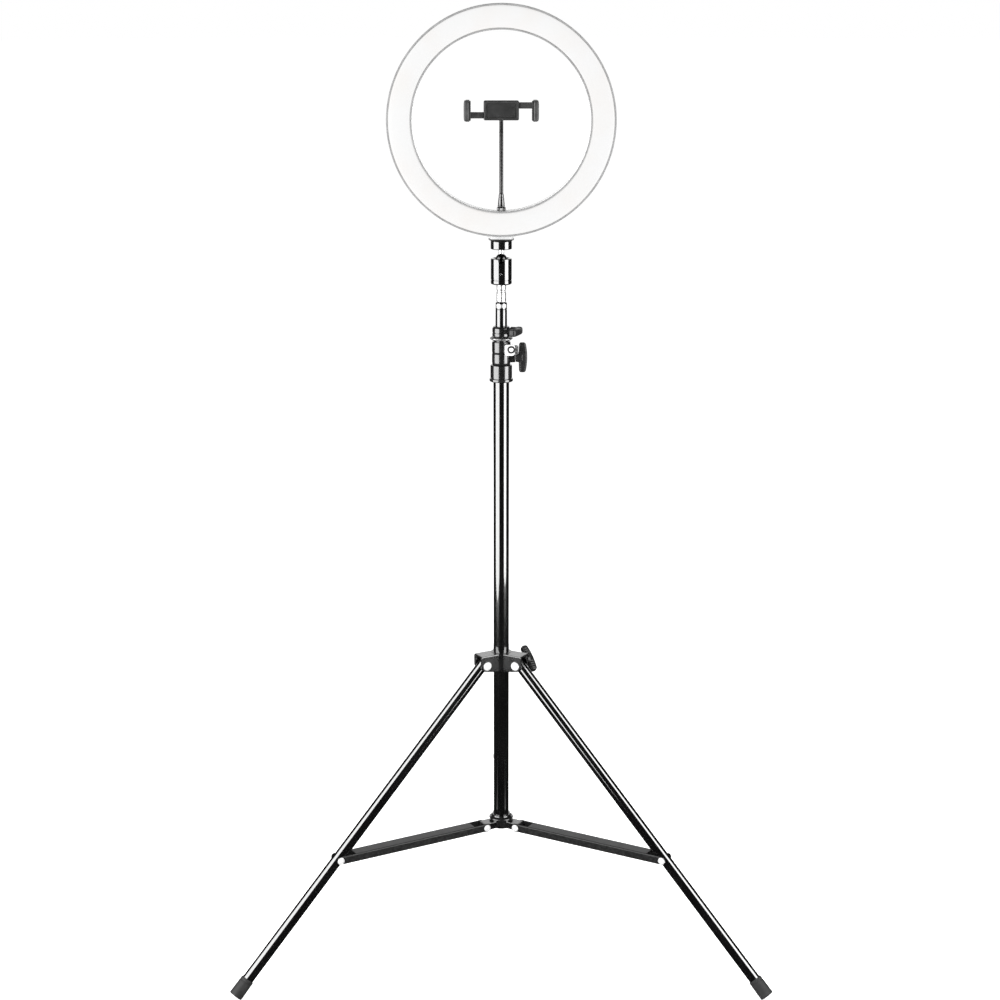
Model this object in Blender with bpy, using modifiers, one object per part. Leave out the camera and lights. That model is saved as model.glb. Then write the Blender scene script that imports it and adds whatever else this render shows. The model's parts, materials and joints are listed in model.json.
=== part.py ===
"""Ring light on a folding tripod stand, with a phone holder inside the ring.

Metres, +Z up. The lit side of the ring faces -Y. The origin is on the floor, at the
centre of the tripod's footprint, so the stand's vertical axis stands at y = AXIS_Y.
"""
from math import cos, pi, radians, sin, sqrt

import bmesh
import bpy
from mathutils import Vector

# ---------------------------------------------------------------- driving dimensions
GAP = 0.0003                # clearance left between pieces that touch
RUN = 0.00035               # radial clearance of a piece that slides or turns

RING_D = 0.2614             # outside diameter of the ring
RING_BAND = 0.0290          # radial width of the lit band
RING_Z = 1.0015             # height of the ring's centre
RING_FRONT = 0.010          # lit face ahead of the stand's axis
RING_REAR = 0.009           # back of the shell behind the stand's axis
SHELL = 0.0018              # wall of the plastic shell

BALL_Z = 0.844              # centre of the ball head's ball
BALL_R = 0.0067
HOUSING_R = 0.0124
HOUSING_MOUTH_R = 0.0100    # the cup's flared mouth
HOUSING_TOP = 0.8453
HOUSING_BOTTOM = 0.8153
HOUSING_FLOOR = 0.8350       # inside of the cup
LOCK_Z, SEAT_SCREW_Z = 0.8375, 0.8280
STUD_R = 0.0032              # spigot's threaded ends
PLATFORM_R = 0.0125
PLATFORM_BOTTOM = 0.8560
NECK_BOTTOM = 0.8660

TOP_TUBE_R = 0.0067
TOP_TUBE_TOP = 0.7860
MID_TUBE_R = 0.0080
COLUMN_R = 0.00915
TUBE_WALL = 0.0009
TELESCOPE = 0.360           # travel of each upper tube
OVERLAP = 0.060             # what stays inside at full travel
UPPER_COLLAR_TOP = 0.7660
LOWER_COLLAR_TOP = 0.7485
LOWER_COLLAR_BOTTOM = 0.7010
UPPER_SCREW_Z = 0.7604      # clamp screws' heights
LOWER_SCREW_Z = 0.7293
LUG_LOW, LUG_HIGH = 0.7325, 0.7450
COLUMN_TOP = 0.7215
COLUMN_BOTTOM = 0.1480

CROWN_PIVOT_Z = 0.3566      # leg pivots
CROWN_TOP = 0.3687
CROWN_BOTTOM = 0.3464
CROWN_ROOF = 0.3664         # underside of the web over each leg
CROWN_SCREW_Z = 0.3530
PIVOT_R = 0.0250            # distance of every pivot from the stand's axis
LEG_ANGLE = radians(43.5)   # leg against the vertical, opened
LEG_R = 0.0067
LEG_ABOVE = 0.0060          # leg beyond its pivot
LEG_TO_BRACE = 0.2880       # leg pivot to brace pin
FOOT_R = 0.0082
FOOT_LENGTH = 0.0240
FLOOR_CUT = 0.0012          # depth of the flat worn on each foot's lower corner
BRACE_LENGTH = LEG_TO_BRACE * sin(LEG_ANGLE)
HUB_PIVOT_Z = CROWN_PIVOT_Z - LEG_TO_BRACE * cos(LEG_ANGLE)
BRACE_WIDTH = 0.0170
BRACE_HEIGHT = 0.0096
SHEET = 0.0012
LEGS = {"left": 210.0, "right": 330.0, "rear": 90.0}    # azimuth of each leg
HEAD_SIDE = {"left": 1.0, "right": -1.0, "rear": 1.0}   # side of the bright bolt heads

PHONE_WIDTH = 0.0690        # opening between the jaw pads
CLAMP_Z = 1.0140
CLAMP_BALL_Y = 0.0035
CLAMP_BALL_R = 0.0045
CLAMP_REST_Y = -0.0128      # face that the phone's back lies on
JAW_WIDTH = 0.0080
JAW_HEIGHT = 0.0240

RING_R = RING_D / 2
RING_HOLE_R = RING_R - RING_BAND
LEG_END = (CROWN_PIVOT_Z + FLOOR_CUT - FOOT_R * sin(LEG_ANGLE)) / cos(LEG_ANGLE)


def footprint_centre():
    """Shift that puts the middle of the tripod's front-to-back extent at y = 0."""
    reach = PIVOT_R + LEG_END * sin(LEG_ANGLE)
    rear = reach + FOOT_R * cos(LEG_ANGLE)
    slope = sin(LEG_ANGLE) * sin(radians(30))
    front = reach * sin(radians(30)) + FOOT_R * sqrt(1 - slope ** 2)
    return (front - rear) / 2


AXIS_Y = footprint_centre()


# ---------------------------------------------------------------- scene and materials
for old in list(bpy.data.objects):
    bpy.data.objects.remove(old, do_unlink=True)


def new_collection(name):
    collection = bpy.data.collections.new(name)
    bpy.context.scene.collection.children.link(collection)
    return collection


PARTS = new_collection("ring_light")
CUTTERS = new_collection("cutters")


def new_material(name, colour, roughness, metallic=0.0, glow=0.0):
    material = bpy.data.materials.new(name)
    material.use_nodes = True
    material.diffuse_color = (*colour, 1.0)
    shader = material.node_tree.nodes["Principled BSDF"]
    shader.inputs["Base Color"].default_value = (*colour, 1.0)
    shader.inputs["Roughness"].default_value = roughness
    shader.inputs["Metallic"].default_value = metallic
    shader.inputs["Emission Color"].default_value = (*colour, 1.0)
    shader.inputs["Emission Strength"].default_value = glow
    return material


MATERIALS = {
    "diffuser": new_material("diffuser", (0.96, 0.95, 0.95), 0.40, glow=3.0),
    "shell_white": new_material("shell_white", (0.86, 0.86, 0.86), 0.35),
    "board": new_material("board", (0.90, 0.88, 0.80), 0.50),
    "brass": new_material("brass", (0.75, 0.58, 0.28), 0.30, 1.0),
    "chrome": new_material("chrome", (0.82, 0.82, 0.83), 0.12, 1.0),
    "black_gloss": new_material("black_gloss", (0.015, 0.015, 0.016), 0.18),
    "black_metal": new_material("black_metal", (0.012, 0.012, 0.013), 0.22, 0.3),
    "black_plastic": new_material("black_plastic", (0.022, 0.022, 0.024), 0.45),
    "grey_plastic": new_material("grey_plastic", (0.10, 0.10, 0.11), 0.50),
    "dark_sheet": new_material("dark_sheet", (0.030, 0.030, 0.033), 0.40, 0.5),
    "rubber": new_material("rubber", (0.018, 0.018, 0.018), 0.80),
}


# ---------------------------------------------------------------- modelling helpers
def add_object(name, mesh, material, parent=None, location=(0, 0, 0), rotation=(0, 0, 0)):
    """Link a mesh as a part, or as a cutter when it has no material."""
    obj = bpy.data.objects.new(name, mesh)
    if material is None:
        CUTTERS.objects.link(obj)
        obj.hide_render = True
        obj.display_type = "WIRE"
    else:
        PARTS.objects.link(obj)
        mesh.materials.append(MATERIALS[material])
    obj.parent = parent
    obj.location = location
    obj.rotation_euler = rotation
    return obj


def add_empty(name, location, parent=None, rotation=(0, 0, 0)):
    """A joint's frame: its children are modelled around this point."""
    empty = bpy.data.objects.new(name, None)
    PARTS.objects.link(empty)
    empty.empty_display_size = 0.01
    empty.parent = parent
    empty.location = location
    empty.rotation_euler = rotation
    return empty


def mesh_of(name, bm):
    mesh = bpy.data.meshes.new(name)
    bm.to_mesh(mesh)
    bm.free()
    return mesh


def turned(name, outline, material, steps=24, **place):
    """Turn (radius, height) points about Z: down the outside, then up the inside.

    An outline that starts and ends on the axis makes a solid piece, any other a ring.
    """
    bm = bmesh.new()
    points = [bm.verts.new((radius, 0, height)) for radius, height in outline]
    solid = outline[0][0] == 0 and outline[-1][0] == 0
    following = points[1:] if solid else points[1:] + points[:1]
    for start, end in zip(points, following):
        bm.edges.new((start, end))
    obj = add_object(name, mesh_of(name, bm), material, **place)
    screw = obj.modifiers.new("turn", "SCREW")
    screw.axis = "Z"
    screw.angle = 2 * pi
    screw.steps = steps
    screw.render_steps = steps
    screw.use_merge_vertices = True
    screw.merge_threshold = 0.00001
    screw.use_smooth_shade = True
    return obj


def tube(name, outer, inner, low, high, material, steps=28, **place):
    outline = [(outer, high), (outer, low), (inner, low), (inner, high)]
    return turned(name, outline, material, steps, **place)


def rod(name, radius, low, high, material, steps=16, **place):
    outline = [(0, high), (radius, high), (radius, low), (0, low)]
    return turned(name, outline, material, steps, **place)


def block(name, low, high, material, rounding=0.0, **place):
    """A box between two corners, with its edges rounded when asked."""
    bm = bmesh.new()
    bmesh.ops.create_cube(bm, size=1.0)
    low, high = Vector(low), Vector(high)
    bmesh.ops.scale(bm, vec=high - low, verts=bm.verts)
    bmesh.ops.translate(bm, vec=(low + high) / 2, verts=bm.verts)
    obj = add_object(name, mesh_of(name, bm), material, **place)
    if rounding:
        bevel = obj.modifiers.new("rounding", "BEVEL")
        bevel.width = rounding
        bevel.segments = 2
        bevel.limit_method = "ANGLE"
    return obj


def arc(centre, radius, start, end, steps):
    """Points from one angle to another, in degrees."""
    angles = [radians(start + (end - start) * i / steps) for i in range(steps + 1)]
    return [(centre[0] + radius * cos(a), centre[1] + radius * sin(a)) for a in angles]


def mesh_from_curve(name, curve, material, **place):
    """Turn a curve into a mesh with welded caps."""
    guide = bpy.data.objects.new(name + "_guide", curve)
    CUTTERS.objects.link(guide)
    bpy.context.view_layer.update()
    depsgraph = bpy.context.evaluated_depsgraph_get()
    mesh = bpy.data.meshes.new_from_object(guide.evaluated_get(depsgraph))
    bm = bmesh.new()
    bm.from_mesh(mesh)
    bmesh.ops.remove_doubles(bm, verts=bm.verts, dist=0.00001)
    bmesh.ops.recalc_face_normals(bm, faces=bm.faces)
    bm.to_mesh(mesh)
    bm.free()
    mesh.materials.clear()
    obj = add_object(name, mesh, material, **place)
    bpy.data.objects.remove(guide, do_unlink=True)
    return obj


def plate(name, outline, thickness, material, **place):
    """A flat outline in the local XZ plane, centred on Y with the given thickness."""
    curve = bpy.data.curves.new(name, "CURVE")
    curve.dimensions = "2D"
    curve.fill_mode = "BOTH"
    curve.extrude = thickness / 2
    spline = curve.splines.new("POLY")
    spline.points.add(len(outline) - 1)
    for point, (x, z) in zip(spline.points, outline):
        point.co = (x, z, 0, 1)
    spline.use_cyclic_u = True
    obj = mesh_from_curve(name, curve, material, **place)
    for vertex in obj.data.vertices:
        x, z, depth = vertex.co
        vertex.co = (x, -depth, z)
    return obj


def combine(target, operand, operation):
    boolean = target.modifiers.new(operation.lower(), "BOOLEAN")
    boolean.operation = operation
    boolean.object = operand
    boolean.solver = "EXACT"


def join(target, operand):
    combine(target, operand, "UNION")


def cut(target, operand):
    combine(target, operand, "DIFFERENCE")


def t_knob(name, bar_length, hub_length, parent, bar_angle):
    """A T-bar hand knob on +Z: hub from z = 0 with a blind hole for its screw."""
    bar_depth, bar_width, hub_r, hole_r = 0.0100, 0.0088, 0.0056, 0.0031
    base = hub_length
    knob = turned(name, [
        (0, base + bar_depth - 0.001), (hub_r, base + bar_depth - 0.001), (hub_r, 0),
        (hole_r, 0), (hole_r, base - 0.0008), (0, base - 0.0008),
    ], "black_plastic", 20, parent=parent, rotation=(0, 0, bar_angle))
    half = bar_length / 2
    bar = block(name + "_bar", (-half, -bar_width / 2, base), (half, bar_width / 2, base + bar_depth),
                None, 0.0022, parent=parent, rotation=(0, 0, bar_angle))
    join(knob, bar)
    return knob


def radial_frame(name, azimuth, radius, height, parent):
    """A frame whose +Z points outward along an azimuth, for knobs and their screws."""
    angle = radians(azimuth)
    place = (radius * cos(angle), radius * sin(angle), height)
    return add_empty(name, place, parent, (0, pi / 2, angle))


# ---------------------------------------------------------------- ring head
def build_ring(parent):
    """White shell, LED board and milky front, turned about the ring's own axis."""
    facing = (pi / 2, 0, 0)
    centre = (0, 0, RING_Z)
    outer, inner, back, rim = RING_R, RING_HOLE_R, -RING_REAR, RING_FRONT - 0.0008
    shell = turned("rear_housing", [
        (outer, rim), (outer, back + 0.0035), (outer - 0.0012, back + 0.0010),
        (outer - 0.0040, back), (inner + 0.0040, back), (inner + 0.0012, back + 0.0010),
        (inner, back + 0.0035), (inner, rim), (inner + SHELL, rim),
        (inner + SHELL, back + SHELL), (outer - SHELL, back + SHELL), (outer - SHELL, rim),
    ], "shell_white", 60, parent=parent, location=centre, rotation=facing)
    neck_top = RING_Z - outer + 0.0012
    neck_outline = [
        (0.0144, NECK_BOTTOM), (0.0144, NECK_BOTTOM + 0.0010), (0.0126, NECK_BOTTOM + 0.0022),
        (0.0132, NECK_BOTTOM + 0.0038), (0.0165, neck_top),
    ]
    mirrored = [(-x, z) for x, z in reversed(neck_outline)]
    neck = plate("neck_block", neck_outline + mirrored, 0.0170, None, parent=parent)
    join(shell, neck)
    insert_r, insert_top = 0.0050, NECK_BOTTOM + 0.0050
    cut(shell, rod("insert_hole", insert_r + GAP, NECK_BOTTOM - 0.002, insert_top + GAP, None,
                   24, parent=parent))
    hole_floor = RING_Z - RING_HOLE_R
    stub_r = 0.0023
    cut(shell, rod("holder_hole", stub_r + GAP, hole_floor - 0.006, hole_floor + 0.006, None,
                   16, parent=parent))
    socket_r = 0.0040
    socket_z = RING_Z - RING_R + RING_BAND / 2
    cut(shell, rod("socket_hole", socket_r + GAP, 0.004, 0.012, None, 20,
                   parent=parent, location=(0, 0, socket_z), rotation=(-pi / 2, 0, 0)))

    edge = SHELL + GAP
    turned("front_diffuser", [
        (outer - edge, RING_FRONT - 0.0016), (outer - edge, RING_FRONT - 0.0040),
        (inner + edge, RING_FRONT - 0.0040), (inner + edge, RING_FRONT - 0.0016),
        (inner + edge + 0.0020, RING_FRONT - 0.0006), ((outer + inner) / 2, RING_FRONT),
        (outer - edge - 0.0020, RING_FRONT - 0.0006),
    ], "diffuser", 60, parent=parent, location=centre, rotation=facing)
    tube("led_board", RING_R - 0.0035, RING_HOLE_R + 0.0038, -0.0042, -0.0030, "board", 40,
         parent=parent, location=centre, rotation=facing)
    tube("neck_insert", insert_r, 0.0034, NECK_BOTTOM + GAP, insert_top, "brass", 24, parent=parent)
    turned("power_socket", [
        (0, 0.0080), (0.0008, 0.0080), (0.0008, 0.0056), (0.0028, 0.0056), (0.0028, 0.0098),
        (socket_r, 0.0098), (socket_r, 0.0046), (0, 0.0046),
    ], "black_plastic", 20, parent=parent, location=(0, 0, socket_z), rotation=(-pi / 2, 0, 0))
    sag = 0.0052 ** 2 / (2 * RING_HOLE_R)
    base = hole_floor + sag + GAP
    turned("holder_nut", [
        (0, base + 0.0046), (0.0040, base + 0.0046), (0.0052, base + 0.0030), (0.0052, base),
        (stub_r, base), (stub_r, hole_floor - 0.0045), (0, hole_floor - 0.0045),
    ], "black_plastic", 24, parent=parent)
    return base + 0.0046


def build_platform(parent):
    """Knurled platform of the ball head, and the stud that holds the ring's neck."""
    top = NECK_BOTTOM - GAP
    turned("platform", [
        (PLATFORM_R - 0.0008, top), (PLATFORM_R, top - 0.0008), (PLATFORM_R, PLATFORM_BOTTOM + 0.001),
        (PLATFORM_R - 0.001, PLATFORM_BOTTOM), (0.0034, PLATFORM_BOTTOM), (0.0034, top),
    ], "black_gloss", 28, parent=parent)
    stud_r, stem_r = 0.0031, 0.0033
    stem_low = BALL_Z + BALL_R + GAP
    stem_high = PLATFORM_BOTTOM - GAP
    turned("platform_stud", [
        (0, NECK_BOTTOM + 0.0046), (stud_r, NECK_BOTTOM + 0.0046), (stud_r, stem_high),
        (stem_r, stem_high), (stem_r, stem_low), (0, stem_low),
    ], "chrome", 20, parent=parent)


# ---------------------------------------------------------------- phone holder
def bezier(start, pull_start, pull_end, end, steps):
    """Points along one cubic Bezier stretch."""
    points = []
    for i in range(steps + 1):
        t = i / steps
        s = 1 - t
        points.append(start * s ** 3 + pull_start * 3 * s * s * t + pull_end * 3 * s * t * t
                      + end * t ** 3)
    return points


def build_arm(parent, nut_top):
    """Swivelling ferrule, bendable gooseneck, end ferrule and its ball."""
    ferrule_low = nut_top + GAP
    ferrule_high = ferrule_low + 0.0140
    turned("arm_ferrule", [
        (0, ferrule_high), (0.0029, ferrule_high), (0.0036, ferrule_high - 0.0015),
        (0.0036, ferrule_low + 0.0015), (0.0042, ferrule_low), (0, ferrule_low),
    ], "black_gloss", 24, parent=parent)
    neck_low = ferrule_high + 0.0010
    start = Vector((0, 0, neck_low))
    tip = Vector((0, CLAMP_BALL_Y + 0.0180, CLAMP_Z))
    route = bezier(start, start + Vector((0, 0, 0.050)), tip + Vector((0, 0.034, 0)), tip, 20)
    curve = bpy.data.curves.new("gooseneck", "CURVE")
    curve.dimensions = "3D"
    curve.bevel_depth = 0.0024
    curve.bevel_resolution = 2
    curve.use_fill_caps = True
    spline = curve.splines.new("POLY")
    spline.points.add(len(route) - 1)
    for point, place in zip(spline.points, route):
        point.co = (*place, 1)
    mesh_from_curve("gooseneck", curve, "black_plastic", parent=parent)
    rear = tip.y - GAP
    turned("arm_tip", [
        (0, rear), (0.0030, rear), (0.0034, rear - 0.0012), (0.0034, rear - 0.0062),
        (0.0020, rear - 0.0070), (0.0020, CLAMP_BALL_Y + CLAMP_BALL_R + GAP),
        (0, CLAMP_BALL_Y + CLAMP_BALL_R + GAP),
    ], "chrome", 24, parent=parent, location=(0, 0, CLAMP_Z), rotation=(-pi / 2, 0, 0))
    ball = bmesh.new()
    bmesh.ops.create_uvsphere(ball, u_segments=16, v_segments=8, radius=CLAMP_BALL_R)
    add_object("arm_ball", mesh_of("arm_ball", ball), "chrome", parent=parent,
               location=(0, CLAMP_BALL_Y, CLAMP_Z))


def build_clamp(parent):
    """Socket, clamp body with two guide slots, and two sliding jaws with rubber pads."""
    pivot = add_empty("clamp_pivot", (0, CLAMP_BALL_Y, CLAMP_Z), parent)
    cavity_r = CLAMP_BALL_R + GAP
    turned("clamp_socket", [
        (0, -cavity_r), (cavity_r, -cavity_r), (cavity_r, 0.0030), (0.0066, 0.0030),
        (0.0075, 0.0020), (0.0075, -0.0060), (0, -0.0060),
    ], "black_plastic", 24, parent=pivot, rotation=(-pi / 2, 0, 0))
    body_rear = -0.0060 - GAP
    body_front = CLAMP_REST_Y - CLAMP_BALL_Y
    body = block("clamp_body", (-0.020, body_front, -0.011), (0.020, body_rear, 0.011),
                 "black_plastic", 0.0015, parent=pivot)
    rail_depth = (body_front + body_rear) / 2
    for side, level in ((1, 0.0055), (-1, -0.0055)):
        name = "right" if side > 0 else "left"
        low = Vector((-0.012, rail_depth - 0.0015, level - 0.0035))
        high = Vector((0.040, rail_depth + 0.0015, level + 0.0035))
        if side < 0:
            low.x, high.x = -high.x, -low.x
        slot = block("slot_" + name, (-0.030, low.y - RUN, low.z - RUN),
                     (0.030, high.y + RUN, high.z + RUN), None, parent=pivot)
        cut(body, slot)
        rail = block("rail_" + name, low, high, None, parent=pivot)
        half = PHONE_WIDTH / 2
        pad = 0.0012
        near, far = half + pad + GAP, half + JAW_WIDTH
        front = body_front - 0.0100
        ends = sorted((side * near, side * far))
        jaw = block("jaw_" + name, (ends[0], front, -JAW_HEIGHT / 2),
                    (ends[1], rail_depth + 0.0030, JAW_HEIGHT / 2),
                    "grey_plastic", 0.0018, parent=pivot)
        join(jaw, rail)
        ends = sorted((side * half, side * (half + pad)))
        block("pad_" + name, (ends[0], front + 0.0012, -JAW_HEIGHT / 2 + 0.0012),
              (ends[1], rail_depth - 0.0015 - RUN, JAW_HEIGHT / 2 - 0.0012),
              "rubber", parent=pivot)


# ---------------------------------------------------------------- ball head
def build_ball_head(parent):
    """Black cup with a front notch, its ball, lock knob, seat screw and chrome spigot."""
    cup_r, floor, stud_r = BALL_R + RUN, HOUSING_FLOOR, STUD_R
    housing = turned("ball_housing", [
        (HOUSING_R - 0.0010, HOUSING_TOP), (HOUSING_R, HOUSING_TOP - 0.0012),
        (HOUSING_R, HOUSING_BOTTOM + 0.0032), (HOUSING_R - 0.0009, HOUSING_BOTTOM + 0.0005),
        (HOUSING_R - 0.0015, HOUSING_BOTTOM), (stud_r + GAP, HOUSING_BOTTOM),
        (stud_r + GAP, floor), (cup_r, floor), (cup_r, BALL_Z - 0.0006),
        (HOUSING_MOUTH_R, HOUSING_TOP),
    ], "black_gloss", 28, parent=parent)
    notch_r = 0.0036
    notch_z = BALL_Z - 0.0002
    outline = arc((0, notch_z), notch_r, 180, 360, 8) + [(notch_r, 0.850), (-notch_r, 0.850)]
    cut(housing, plate("notch", outline, 0.012, None, parent=parent, location=(0, -0.0105, 0)))
    lock_r, lock_tip = 0.0026, 0.0060
    cut(housing, rod("lock_hole", lock_r + GAP, 0.005, 0.016, None, 16, parent=parent,
                     location=(0, 0, LOCK_Z), rotation=(-pi / 2, 0, 0)))
    seat_r = 0.0014
    cut(housing, rod("seat_hole", seat_r + GAP, 0.0085, 0.016, None, 12, parent=parent,
                     location=(0, 0, SEAT_SCREW_Z), rotation=(pi / 2, 0, 0)))
    turned("seat_screw", [(0, 0.0119), (seat_r, 0.0119), (seat_r, 0.0090), (0, 0.0090)],
           "chrome", 12, parent=parent, location=(0, 0, SEAT_SCREW_Z), rotation=(pi / 2, 0, 0))
    lock = add_empty("lock_axis", (0, 0, LOCK_Z), parent, (-pi / 2, 0, 0))
    knob_low = HOUSING_R + RUN + 0.0004
    turned("lock_knob", [
        (0, knob_low + 0.0130), (0.0052, knob_low + 0.0130), (0.0062, knob_low + 0.0118),
        (0.0062, knob_low + 0.0040), (0.0040, knob_low + 0.0024), (0.0040, knob_low),
        (lock_r, knob_low), (lock_r, lock_tip), (0, lock_tip),
    ], "black_gloss", 20, parent=lock)
    ball = bmesh.new()
    bmesh.ops.create_uvsphere(ball, u_segments=24, v_segments=14, radius=BALL_R)
    add_object("ball", mesh_of("ball", ball), "chrome", parent=parent, location=(0, 0, BALL_Z))


def build_spigot(parent):
    """Chrome spigot under the ball head, screwed into the top tube's plug."""
    stud_r, shoulder = STUD_R, TOP_TUBE_TOP + 0.0085
    turned("spigot", [
        (0, 0.8270), (stud_r, 0.8270), (stud_r, HOUSING_BOTTOM - GAP), (0.0050, HOUSING_BOTTOM - GAP),
        (0.0055, HOUSING_BOTTOM - 0.0010), (0.0055, shoulder + 0.0008), (0.0050, shoulder),
        (stud_r, shoulder), (stud_r, 0.7800), (0, 0.7800),
    ], "chrome", 24, parent=parent)
    seat, bore = TOP_TUBE_TOP + GAP, stud_r + GAP
    neck_r = TOP_TUBE_R - TUBE_WALL - 0.0004
    turned("top_plug", [
        (0, 0.7796), (bore, 0.7796), (bore, shoulder - GAP), (TOP_TUBE_R - 0.0007, shoulder - GAP),
        (TOP_TUBE_R, shoulder - 0.0010), (TOP_TUBE_R, seat), (neck_r, seat), (neck_r, 0.7700),
        (0, 0.7700),
    ], "black_plastic", 24, parent=parent)


# ---------------------------------------------------------------- telescopic stand
def build_top_tube(parent):
    bottom = UPPER_COLLAR_TOP - TELESCOPE - OVERLAP
    tube("top_tube", TOP_TUBE_R, TOP_TUBE_R - TUBE_WALL, bottom, TOP_TUBE_TOP, "black_metal",
         parent=parent)


def build_mid_stage(parent):
    """Middle tube with its clamp collar, bright flange and T-knob."""
    bottom = LOWER_COLLAR_TOP - TELESCOPE - OVERLAP
    tube_top = UPPER_COLLAR_TOP - 0.0045
    tube("mid_tube", MID_TUBE_R, MID_TUBE_R - TUBE_WALL, bottom, tube_top, "black_metal",
         parent=parent)
    bore, lip = MID_TUBE_R + GAP, TOP_TUBE_R + RUN
    flange_low, flange_high = LOWER_COLLAR_TOP + 0.0008, LOWER_COLLAR_TOP + 0.0060
    collar_r, collar_low = 0.0104, flange_high + GAP
    collar = turned("upper_collar", [
        (collar_r - 0.0016, UPPER_COLLAR_TOP), (collar_r, UPPER_COLLAR_TOP - 0.0020),
        (collar_r, collar_low), (bore, collar_low), (bore, tube_top + GAP), (lip, tube_top + GAP),
        (lip, UPPER_COLLAR_TOP),
    ], "black_gloss", parent=parent)
    middle = (flange_low + flange_high) / 2
    turned("upper_flange", [
        (0.0095, flange_high), (0.0132, middle + 0.0006), (0.0132, middle - 0.0006),
        (0.0095, flange_low), (bore, flange_low), (bore, flange_high),
    ], "chrome", parent=parent)
    build_clamp_screw(parent, collar, "upper", azimuth=-20, height=UPPER_SCREW_Z, reach=MID_TUBE_R,
                      boss_r=0.0042, boss_end=0.0113, hub=0.0020, bar=0.0280, bar_angle=pi / 2)


def build_clamp_screw(parent, collar, name, azimuth, height, reach, boss_r, boss_end, hub, bar,
                      bar_angle):
    """Boss on a collar, the screw that presses on the tube inside, and its T-knob."""
    axis = radial_frame(name + "_axis", azimuth, 0, height, parent)
    join(collar, rod(name + "_boss", boss_r, reach + 0.0010, boss_end, None, 20, parent=axis))
    screw_r = 0.0027
    cut(collar, rod(name + "_bore", screw_r + GAP, reach - 0.001, boss_end + 0.002, None,
                    16, parent=axis))
    knob = add_empty(name + "_knob_axis", (0, 0, boss_end + GAP), axis)
    t_knob(name + "_knob", bar, hub, knob, bar_angle)
    tip = reach + RUN - boss_end - GAP
    rod(name + "_screw", screw_r, tip, hub - 0.0014, "chrome", 16, parent=knob)


def build_column(parent):
    """Main tube with the lower clamp collar, its bright plate and its T-knob."""
    tube("column_tube", COLUMN_R, COLUMN_R - TUBE_WALL + 0.0001, COLUMN_BOTTOM, COLUMN_TOP,
         "black_metal", parent=parent)
    wide, narrow = COLUMN_R + GAP, MID_TUBE_R + RUN
    low, high = LOWER_COLLAR_BOTTOM, LOWER_COLLAR_TOP
    step = COLUMN_TOP + GAP
    collar = turned("lower_collar", [
        (0.0100, high), (0.0108, high - 0.0010), (0.0108, high - 0.0126), (0.0101, high - 0.0130),
        (0.0101, high - 0.0142), (0.0108, high - 0.0146), (0.0108, high - 0.0272),
        (0.0126, high - 0.0280),
        (0.0126, low + 0.0042), (0.0137, low + 0.0036), (0.0137, low + 0.0008), (0.0130, low),
        (wide, low), (wide, step), (narrow, step), (narrow, high),
    ], "black_gloss", parent=parent)
    lug = block("lower_lug", (0.0070, -0.0108, LUG_LOW), (0.0160, -0.0050, LUG_HIGH), None, 0.001,
                parent=parent)
    join(collar, lug)
    strap = block("clamp_plate", (0.0040, -0.0128, LUG_LOW - GAP), (0.0196, -0.0111, LUG_HIGH + GAP),
                  "chrome", 0.0006, parent=parent)
    dome = turned("plate_rivet", [(0, 0.0145), (0.0014, 0.0142), (0.0026, 0.0130), (0.0026, 0.0120),
                                  (0, 0.0120)], None, 16, parent=parent,
                  location=(0.0106, 0, (LUG_LOW + LUG_HIGH) / 2), rotation=(pi / 2, 0, 0))
    join(strap, dome)
    build_clamp_screw(parent, collar, "lower", azimuth=0, height=LOWER_SCREW_Z, reach=MID_TUBE_R,
                      boss_r=0.0058, boss_end=0.0165, hub=0.0035, bar=0.0350, bar_angle=0)
    plug_r = COLUMN_R - TUBE_WALL - 0.0002
    turned("column_plug", [
        (0, COLUMN_BOTTOM + 0.010), (plug_r, COLUMN_BOTTOM + 0.010), (plug_r, COLUMN_BOTTOM - GAP),
        (COLUMN_R, COLUMN_BOTTOM - GAP), (COLUMN_R, COLUMN_BOTTOM - 0.0035),
        (COLUMN_R - 0.001, COLUMN_BOTTOM - 0.0045), (0, COLUMN_BOTTOM - 0.0045),
    ], "black_plastic", parent=parent)


# ---------------------------------------------------------------- tripod
def leg_frame(name, azimuth, radius, height, parent):
    """A pivot's frame: +X outward along the leg's azimuth, +Y along the pivot pin."""
    angle = radians(azimuth)
    return add_empty(name, (radius * cos(angle), radius * sin(angle), height), parent,
                     (0, 0, angle))


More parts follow.
